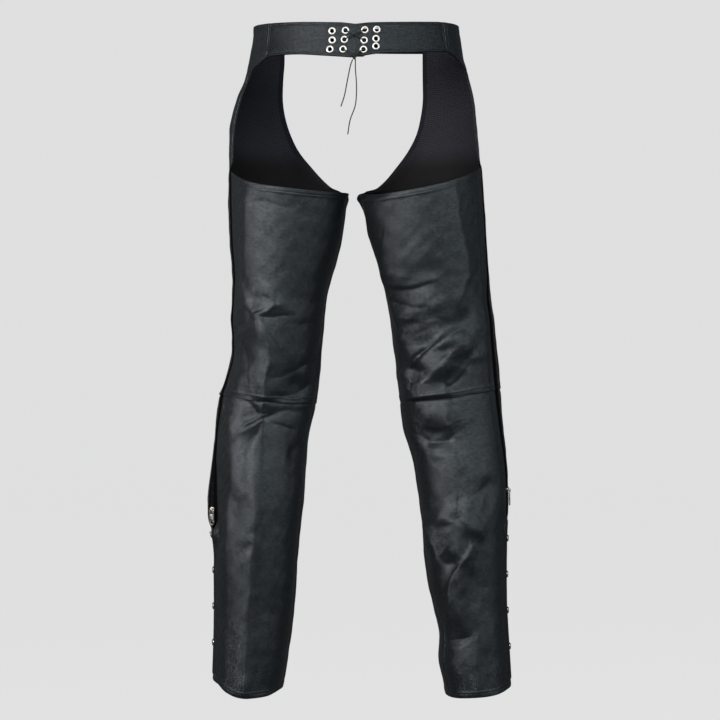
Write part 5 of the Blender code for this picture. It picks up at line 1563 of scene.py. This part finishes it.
@dataclass
class Zip:
    """A leg's zip: woven tape, moulded teeth, and the nickel slider with its hanging pull."""

    side: Side
    looks: Wardrobe
    chain: ChainMachine
    tooth_height: float = 1.0      # middle of the teeth over the tape
    reach: float = 1.25            # the middles of a row of teeth stand this far off the centre
    body_width: float = 9.0
    body_length: float = 11.0
    body_plate: float = 1.6
    pull_width: float = 8.6
    pull_length: float = 25.0
    pull_thick: float = 1.2
    pull_bar: float = 1.5
    window: Pair = (4.2, 5.4)
    hole: float = 1.9
    axis_rise: float = 1.2
    bail_width: float = 2.2
    bail_reach: float = 7.0
    bail_rise: float = 3.4
    bail_wall: float = 1.0
    bail_round: Pair = (1.3, 0.7)       # radius of its corners, outside and inside
    rail_share: float = 0.92       # outline of the slider's rails for its shield
    rail_drop: float = 1.1
    rail_thick: float = 1.0
    pull_corner: float = 0.9
    window_corner: float = 0.6
    soft_edge: float = 0.3         # radius of the rounding on every edge
    shield_edge: float = 0.45
    bare: Pair = (2.0, 1.0)             # tape over and under the chain

    # The shield's flank from its foot up: shares of its half width and half length, and how much
    # higher.
    FLANK = ((0.62, -1.0, 0.0), (0.72, -1.0, 0.8), (0.8, -0.3, 0.0), (1.0, 0.25, 0.0))

    def build(self) -> None:
        """Builds the tape, the teeth, the slider and the pull."""
        node = f"zip_tape_{self.side.value}"
        wall = Wall.of_panel(node)
        flat = Wall(wall.outer[:, [0, 1, -2, -1]], wall.inner[:, [0, 1, -2, -1]])
        tape = CutPiece(node, flat, self.looks.tape, slot="tape", creased=False, rippled=0.0,
                        coarse=4.0, border=2.0)
        tape.build()
        width, length = tape.surface.size
        t = np.linspace(self.bare[0] * MM, length - self.bare[1] * MM, 260)
        middle = tape.surface.at(np.full_like(t, width / 2), t)
        outward = tape.surface.normals(np.full_like(t, width / 2), t)
        along = unit(np.gradient(middle, axis=0))
        across = np.cross(outward, along)
        for number, way in enumerate((-1, 1)):
            line = middle + outward * self.tooth_height * MM + across * way * self.reach * MM
            first = number * self.chain.PITCH / 2 * MM
            run = lengths_along(line)
            shifted = np.clip(run + first, 0, run[-1])
            line = np.stack([np.interp(shifted, run, line[:, k]) for k in range(3)], -1)
            self.chain.set(f"zip_teeth_{self.side.value}_{number + 1}", line, outward)
        self.slider()

    def axes(self) -> tuple[np.ndarray, np.ndarray, np.ndarray, np.ndarray]:
        """The pull's turning axis: a point on it, its direction, outward and up."""
        joint = next(j for j in frame["joints"] if j["name"] == f"zip_pull_{self.side.value}")
        points, _ = welded(f"zip_pull_{self.side.value}")
        pivot = np.array(joint["pos_m"], float)
        across = unit(np.array(joint["axis"], float))
        hang = pivot - points.mean(0)
        up = unit(hang - across * (hang @ across))
        outward = np.cross(across, up)
        away = np.array([self.side.sign, -0.2, 0.0])
        return pivot, across, outward * np.sign(outward @ away), up

    def slider(self) -> None:
        """Builds the slider's body and bail, and the pull."""
        side, nickel = self.side.value, self.looks.nickel
        pivot, across, outward, up = self.axes()

        def place(out: float, x: np.ndarray, y: np.ndarray) -> Matrix:
            """Puts a plate's own X and Y along two directions, so far out from the axis."""
            turn = Matrix([[*row] for row in np.column_stack([x, y, np.cross(x, y)])]).to_4x4()
            return Matrix.Translation(pivot + outward * out * MM) @ turn

        half, tall = self.body_width / 2, self.body_length / 2
        flank = [(half * x, tall * y + more) for x, y, more in self.FLANK]
        other = [(-x, y) for x, y in flank[::-1]]
        shield = other[-1:] + flank + arc((0, tall - half), half, 15, 165, 15) + other[:-1]
        top = -self.axis_rise - self.body_plate / 2
        plates = [plate("body", shield, [], self.body_plate, self.shield_edge,
                        place(top, across, up), nickel)]
        rails = [(x * self.rail_share, y * self.rail_share) for x, y in shield]
        plates.append(plate("rail", rails, [], self.rail_thick, self.soft_edge,
                            place(top - self.rail_drop, across, up), nickel))
        reach, rise = self.bail_reach / 2, self.bail_rise
        inner = reach - self.bail_wall
        far, near = self.bail_round
        strap = ([(-reach, 0)] + arc((-reach + far, rise - far), far, 180, 90, 6)
                 + arc((reach - far, rise - far), far, 90, 0, 6) + [(reach, 0), (inner, 0)]
                 + arc((inner - near, rise - self.bail_wall - near), near, 0, 90, 5)
                 + arc((-inner + near, rise - self.bail_wall - near), near, 90, 180, 5)
                 + [(-inner, 0)])
        plates.append(plate("bail", strap, [], self.bail_width, self.soft_edge,
                            place(-self.axis_rise, up, outward), nickel))
        body = joined(f"zip_slider_{side}_cast", plates)
        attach(body, CHAPS)
        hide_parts(f"zip_slider_{side}")

        half, low = self.pull_width / 2, -(self.pull_length - self.pull_bar / 2)
        wide, deep = self.window[0] / 2, self.window[1]
        sill, corner = -self.pull_bar / 2, self.pull_corner
        outline = (arc((half - corner, self.pull_bar / 2 - corner), corner, 0, 90, 5)
                   + arc((-half + corner, self.pull_bar / 2 - corner), corner, 90, 180, 5)
                   + arc((0, low + half), half, 180, 360, 25))
        window = [(x, y + sill - deep / 2)
                  for x, y in rounded(2 * wide, deep, self.window_corner)]
        hole = arc((0, low + half + 0.2), self.hole, 0, 345, 24)
        tab = plate(f"zip_pull_{side}_tab", outline, [window, hole], self.pull_thick,
                    self.soft_edge, place(0.0, across, up), nickel)
        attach(tab, f"pull_{side}")
        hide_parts(f"zip_pull_{side}")


def joined(name: str, pieces: Sequence[Object]) -> Object:
    """Joins pieces into one mesh under a new name.

    Args:
        name: the name.
        pieces: the pieces, which are removed.

    Returns:
        The joined piece.
    """
    work = bmesh.new()
    for piece in pieces:
        work.from_mesh(piece.data)
    mesh = mesh_of(work, name)
    for material in pieces[0].data.materials:
        mesh.materials.append(material)
    mesh.shade_smooth()
    for piece in pieces:
        bpy.data.objects.remove(piece)
    return soften(placed(name, mesh), 35)


SNAPS = 4                      # on each placket
# A snap cap's outline as radius and height, from its middle out over the ring and back.
SNAP_PROFILE = ((0, 1.0), (1.6, 1.05), (2.6, 0.95), (3.0, 0.75), (3.3, 0.95), (3.9, 1.2),
                (4.6, 1.0), (5.1, 0.6), (5.4, 0.0), (5.3, -0.5), (4.8, -0.9), (0, -0.9))


def build_snap(side: Side, number: int, looks: Wardrobe) -> None:
    """A ring-top snap cap in place of its node."""
    node = f"snap_{side.value}_{number}"
    seat = Disc.of_node(node, (side.sign, 0.0, 0.0))
    cap = turned(f"{node}_cap", SNAP_PROFILE, seat.matrix(-seat.half), looks.nickel)
    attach(cap, CHAPS)
    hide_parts(node)


# ---- Waistband, lace and belt ----

@dataclass
class Lacing:
    """The eyelets, and the lace that crosses between the inner ones, is knotted and hangs down."""

    looks: Wardrobe
    lace: float = 1.8            # the cord's thickness
    band: float = 2.6            # thickness of the waistband
    gap: float = 0.3
    flange: float = 0.8          # thickness of an eyelet's flange
    settle: float = 0.2          # it sits this much closer than its solid, the washer half
    bore: float = 3.35           # radii of the hole, the barrel and the flange
    barrel: float = 3.8
    outer: float = 5.8
    knot: tuple[float, float, float] = (-0.9, -121.0, -42.0)
    knot_size: float = 0.85
    knot_depth: float = 1.3
    knot_lace: float = 0.6       # its cord's radius for the lace's thickness
    knot_ends: Pair = (1.6, 3.5)        # beside and over its middle
    tails: dict[Side, tuple[Pair, ...]] = field(default_factory=lambda: {
        Side.LEFT: ((-3.4, -45.5), (-7, -56), (-11.5, -78), (-16, -101), (-21.5, -118)),
        Side.RIGHT: ((0.9, -44.5), (0.9, -60), (2.6, -86), (1, -115), (-7.2, -139),
                     (-10.9, -161))})

    # Inner eyelets in the lace's order, with how far it swings forward on the way to each. It goes
    # in through the first, comes out through the next, and so on.
    PATH = ((Side.LEFT, 3, 0.0), (Side.RIGHT, 2, 0.8), (Side.LEFT, 1, -0.8), (Side.RIGHT, 1, 0.8),
            (Side.LEFT, 2, -3.2), (Side.RIGHT, 3, 3.2))

    def __post_init__(self) -> None:
        """Reads where the eyelets stand."""
        middle = self.band / 2           # from the eyelet's middle out to the band's face
        self.seats: dict[tuple[Side, str, int], Disc] = {}
        for side in Side:
            for column in ("inner", "outer"):
                for row in (1, 2, 3):
                    found = Disc.of_node(f"eyelet_{side.value}_{column}_{row}", (0.0, -1.0, 0.0))
                    found.centre = found.centre + found.axis * middle * MM
                    self.seats[side, column, row] = found

    def build(self) -> None:
        """Builds the tails first, then the lace, its knot and the eyelets."""
        knot = np.array(self.knot)
        for side, hang in self.tails.items():
            route = smooth_route([np.array([x, knot[1], z]) for x, z in hang], 2.2) * MM
            tail = tube(f"lace_tail_{side.value}", route, self.lace / 2 * MM, self.looks.cord)
            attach(tail, CHAPS)
            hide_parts(f"lace_end_{side.value}")
        self.crossings(knot)
        self.tie(knot)
        for (side, column, row), seat in self.seats.items():
            self.eyelet(f"eyelet_{side.value}_{column}_{row}", seat)

    def crossings(self, knot: np.ndarray) -> None:
        """The lace from the knot through the inner eyelets and back."""
        clear = self.gap + self.flange + self.lace / 2 + self.gap

        def beside(side: Side, row: int, behind: bool) -> np.ndarray:
            """Where the lace turns at an inner eyelet, outside or behind the band."""
            seat = self.seats[side, "inner", row]
            return seat.centre / MM + seat.axis * (-(self.band + clear) if behind else clear)

        beyond, above = self.knot_ends
        anchors = [knot + (-beyond, 0, above)]
        for number, (side, row, swing) in enumerate(self.PATH):
            first = beside(side, row, number % 2 == 1)
            if number:
                anchors.append((anchors[-1] + first) / 2 + (0, swing, 0))
            anchors += [first, beside(side, row, number % 2 == 0)]
        anchors.append(knot + (beyond, 0, above))
        lace = tube("lace_run", smooth_route(anchors, 1.5) * MM, self.lace / 2 * MM, self.looks.cord)
        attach(lace, CHAPS)
        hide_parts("lace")

    def tie(self, knot: np.ndarray) -> None:
        """An overhand knot pulled tight, as a three-lobed loop of the lace."""
        turn = np.linspace(0, math.tau, 90, endpoint=False)
        loop = np.stack([np.sin(turn) + 2 * np.sin(2 * turn), -np.sin(3 * turn) * self.knot_depth,
                         np.cos(turn) - 2 * np.cos(2 * turn)], -1) * self.knot_size
        piece = tube("lace_tied_knot", (knot + loop) * MM, self.lace * self.knot_lace * MM,
                     self.looks.cord, closed=True)
        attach(piece, CHAPS)
        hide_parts("lace_knot")

    def eyelet(self, node: str, seat: Disc) -> None:
        """A rolled eyelet: rounded flange, barrel through the band and washer behind."""
        front = self.gap - self.settle
        back = -(self.band + self.gap) + self.settle / 2
        profile = ([(self.bore, back - 0.5), (self.bore, front + 0.2)]
                   + [(self.bore + 0.1, front + 0.75), (self.bore + 0.4, front + 0.98),
                      (self.bore + 1.1, front + 1.02), (self.outer - 0.7, front + 0.85),
                      (self.outer - 0.1, front + 0.45), (self.outer, front), (self.barrel, front)]
                   + [(self.barrel, back), (self.outer * 0.9, back),
                      (self.outer * 0.88, back - 0.4), (self.bore + 0.8, back - 0.85),
                      (self.bore + 0.2, back - 0.75)])
        ring = turned(f"{node}_rolled", profile, seat.matrix(), self.looks.eyelet, ring=True)
        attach(ring, CHAPS)
        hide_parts(node)


@dataclass
class Waist:
    """The two waistband halves behind and the buckled belt in front."""

    looks: Wardrobe
    machine: StitchMachine
    lacing: Lacing
    stitch_in: float = 4.2
    middle: float = 0.0          # where the back halves meet
    lift: float = 2.5            # the front band's facing stands this much over its solid
    bar: float = 4.0             # width of the buckle's bars
    corner: float = 5.0          # radius of its corners, outside and inside
    inner_corner: float = 2.0
    frame_edge: float = 1.2      # radius of the edges of its frame and its prong
    prong_edge: float = 0.5
    prong_root: float = 0.6      # the prong's root for its full width

    def build(self) -> None:
        """Builds the bands and the buckle."""
        seams = []
        all_round = Edges(*[Edge.TURNED] * 4)
        for side in Side:
            node = f"back_band_{side.value}"
            discs = [seat for (where, _, _), seat in self.lacing.seats.items() if where is side]
            wall = Wall.of_belt(node, discs)
            outer = "start" if side is Side.LEFT else "end"
            edges = Edges(top=Edge.TURNED, bottom=Edge.TURNED, **{outer: Edge.TURNED})
            seams += self.band(node, wall.reaching(self.middle, side is Side.LEFT), edges,
                               tuple(disc.centre for disc in discs)).seams()
        for side in Side:
            node = f"front_band_{side.value}"
            wall = Wall.of_belt(node).extended(top=self.lift)
            seams += self.band(node, wall, all_round, ()).seams()
        self.machine.sew("waist_topstitching", seams)
        self.buckle()

    def band(self, node: str, wall: Wall, edges: Edges, holes: tuple) -> CutPiece:
        """Builds one band."""
        band = CutPiece(node, wall, self.looks.band, edges, stitch_in=self.stitch_in, lap_lift=0.0,
                        groove=0.5, creased=False, rippled=0.12, coarse=1.2, border=8.0,
                        holes=holes)
        band.build()
        return band

    def buckle(self) -> None:
        """Builds the frame buckle and its prong."""
        low, high = (np.array(corner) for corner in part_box("buckle_frame"))
        size, middle = (high - low) / MM, (high + low) / 2
        turn = Matrix(((-1, 0, 0), (0, 0, 1), (0, 1, 0))).to_4x4()
        frame_plate = plate(
            "buckle_frame_cast", rounded(size[0], size[2], self.corner),
            [rounded(size[0] - 2 * self.bar, size[2] - 2 * self.bar, self.inner_corner)],
            size[1], self.frame_edge, Matrix.Translation(middle) @ turn, self.looks.nickel)
        low, high = (np.array(corner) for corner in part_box("buckle_prong"))
        size, middle = (high - low) / MM, (high + low) / 2
        reach, rise = size[0] / 2, size[2] / 2
        root = rise * self.prong_root
        prong = plate("buckle_prong_wire",
                      [(-reach, -root), (reach - 1, -rise), (reach, 0), (reach - 1, rise),
                       (-reach, root)], [], size[1], self.prong_edge,
                      Matrix.Translation(middle) @ turn, self.looks.nickel)
        for piece, node in ((frame_plate, "buckle_frame"), (prong, "buckle_prong")):
            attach(piece, CHAPS)
            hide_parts(node)


# ---- Stage, light and camera ----

class Studio:
    """A pale sweep under soft light, and the camera straight behind the wearer."""

    FLOOR = -1.30
    GREY, GLOW = "#e1e1e1", 0.97               # the sweep shows its own grey, hardly shaded
    ROOM, ROOM_LIGHT = "#8c8f94", 0.3          # the room's soft grey all round
    STAND = (0.008, -4.0, -0.510)              # the camera's place
    LENS, SENSOR = 125.5, 36.0

    def build(self) -> None:
        """Makes the camera, the lights and the sweep."""
        scene = bpy.context.scene
        scene.view_settings.view_transform = "Standard"
        self.camera()
        self.sweep()
        self.light("key", (-1.9, -1.9, 0.0), (0.0, 0.0, -0.3), (0.85, 1.2), 10.5, 75, "#fff4f2")
        self.light("front", (-0.1, -4.2, 0.6), (0.0, 0.0, -0.45), (3.0, 2.0), 46)
        self.light("top", (0.2, -2.6, 1.8), (0.0, 0.0, -0.5), (2.8, 1.6), 45)
        self.light("right", (3.2, -2.0, 0.2), (0.0, 0.0, -0.5), (1.2, 2.2), 34)
        self.light("left", (-2.8, 1.2, 0.2), (0.0, 0.0, -0.4), (0.8, 2.2), 3)
        world = bpy.data.worlds.new("room")
        scene.world = world
        world.use_nodes = True
        wire(world.node_tree.nodes["Background"], {
            "Color": linear(self.ROOM), "Strength": self.ROOM_LIGHT})

    def camera(self) -> None:
        """The camera stands level with the thighs, four metres behind."""
        data = bpy.data.cameras.new("camera")
        data.lens = self.LENS
        data.sensor_width = self.SENSOR
        camera = placed("camera", data)
        camera.location = self.STAND
        camera.rotation_euler = (math.radians(90), 0, 0)
        bpy.context.scene.camera = camera

    def sweep(self) -> None:
        """Floor and backdrop in one curved sheet, painted pale grey."""
        near, far, top, bend, wide = -14.0, 16.0, 14.0, 6.0, 18.0
        profile = [(near, self.FLOOR), (far - bend, self.FLOOR)]
        for turn in np.linspace(0, math.pi / 2, 16)[1:]:
            profile.append((far - bend + bend * math.sin(turn),
                            self.FLOOR + bend * (1 - math.cos(turn))))
        profile.append((far, top))
        points = [(x, y, z) for y, z in profile for x in (-wide, wide)]
        faces = [(2 * k, 2 * k + 1, 2 * k + 3, 2 * k + 2) for k in range(len(profile) - 1)]
        material, _, shader = new_material("painted_sweep")
        wire(shader, {"Base Color": linear("#5a5a5a"), "Roughness": 1.0, "Specular IOR Level": 0.0,
                      "Emission Color": linear(self.GREY), "Emission Strength": self.GLOW})
        sheet = mesh_object("sweep", np.array(points), faces, material)
        sheet.visible_glossy = False
        sheet.visible_diffuse = False

    def light(self, name: str, place: tuple[float, float, float],
              aim: tuple[float, float, float], size: Pair, watts: float,
              beam: float = 180, colour: str = "#ffffff") -> None:
        """Adds a soft box.

        Args:
            name: the light's name.
            place: where it stands.
            aim: the point it faces.
            size: its width and height in metres.
            watts: its power.
            beam: how wide its grid lets the light spread, in degrees.
            colour: its light's colour.
        """
        data = bpy.data.lights.new(name, "AREA")
        data.shape = "RECTANGLE"
        data.size, data.size_y = size
        data.energy = watts
        data.spread = math.radians(beam)
        data.color = linear(colour)[:3]
        box = placed(name, data)
        box.location = place
        box.rotation_euler = (Vector(aim) - Vector(place)).to_track_quat("-Z", "Y").to_euler()


class LegCloth:
    """The cut pieces of one leg."""

    PLANS = {
        "front_thigh": Edges(top=Edge.TURNED, start=Edge.TURNED, end=Edge.TURNED,
                             bottom=Edge.LAPPED, low_start=Edge.SEAMED, turn_row=13),
        "front_shin": Edges(top=Edge.TUCKED, start=Edge.SEAMED, end=Edge.TURNED,
                            bottom=Edge.TURNED),
        "back_thigh": Edges(top=Edge.TURNED, start=Edge.TURNED, end=Edge.SEAMED,
                            bottom=Edge.LAPPED),
        "back_calf": Edges(top=Edge.TUCKED, start=Edge.TURNED, end=Edge.SEAMED,
                           bottom=Edge.TURNED),
    }
    FLAP = Edges(start=Edge.TURNED, end=Edge.TURNED, top=Edge.TURNED)

    def __init__(self, side: Side, looks: Wardrobe, machine: StitchMachine) -> None:
        """Keeps what the leg is made with."""
        self.side, self.looks, self.machine = side, looks, machine

    def build(self) -> None:
        """Builds the leather, the lining and the facing."""
        seams = []
        for name, edges in self.PLANS.items():
            node = f"{name}_{self.side.value}"
            coarse = 1.7 if name.startswith("back") else 2.4
            piece = CutPiece(node, Wall.of_panel(node), self.looks.leather, edges, coarse=coarse)
            piece.build()
            seams += piece.seams()
        node = f"snap_placket_{self.side.value}"
        flap = CutPiece(node, Wall.of_panel(node), self.looks.placket, self.FLAP, stitch_in=3.0,
                        lap_lift=0.0, rippled=0.3, border=6.0, inside=3.0)
        flap.build()
        self.machine.sew(f"topstitching_{self.side.value}", seams + flap.seams())
        node = f"crotch_facing_{self.side.value}"
        CutPiece(node, Wall.of_panel(node), self.looks.facing, slot="facing", creased=False,
                 rippled=0.0, coarse=2.0).build()
        node = f"thigh_lining_{self.side.value}"
        CutPiece(node, Wall.of_panel(node), self.looks.lining, slot="lining", rippled=0.6,
                 coarse=3.0).build()


def main() -> None:
    """Dresses the chaps piece by piece."""
    logging.basicConfig(level=logging.INFO, format="%(name)s: %(message)s")
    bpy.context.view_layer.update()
    known = {thing.name for thing in bpy.context.scene.objects}
    Studio().build()
    looks = Wardrobe()
    machine = StitchMachine(looks.thread)
    lacing = Lacing(looks)
    lacing.build()
    chain = ChainMachine(looks.teeth)
    for side in Side:
        LegCloth(side, looks, machine).build()
        Zip(side, looks, chain).build()
        for number in range(1, SNAPS + 1):
            build_snap(side, number, looks)
    Waist(looks, machine, lacing).build()
    for piece in bpy.context.scene.objects:
        if piece.type == "MESH" and piece.name not in known:
            LOG.info("%s: %d faces", piece.name, len(piece.data.polygons))


if __name__ == "__main__":
    main()
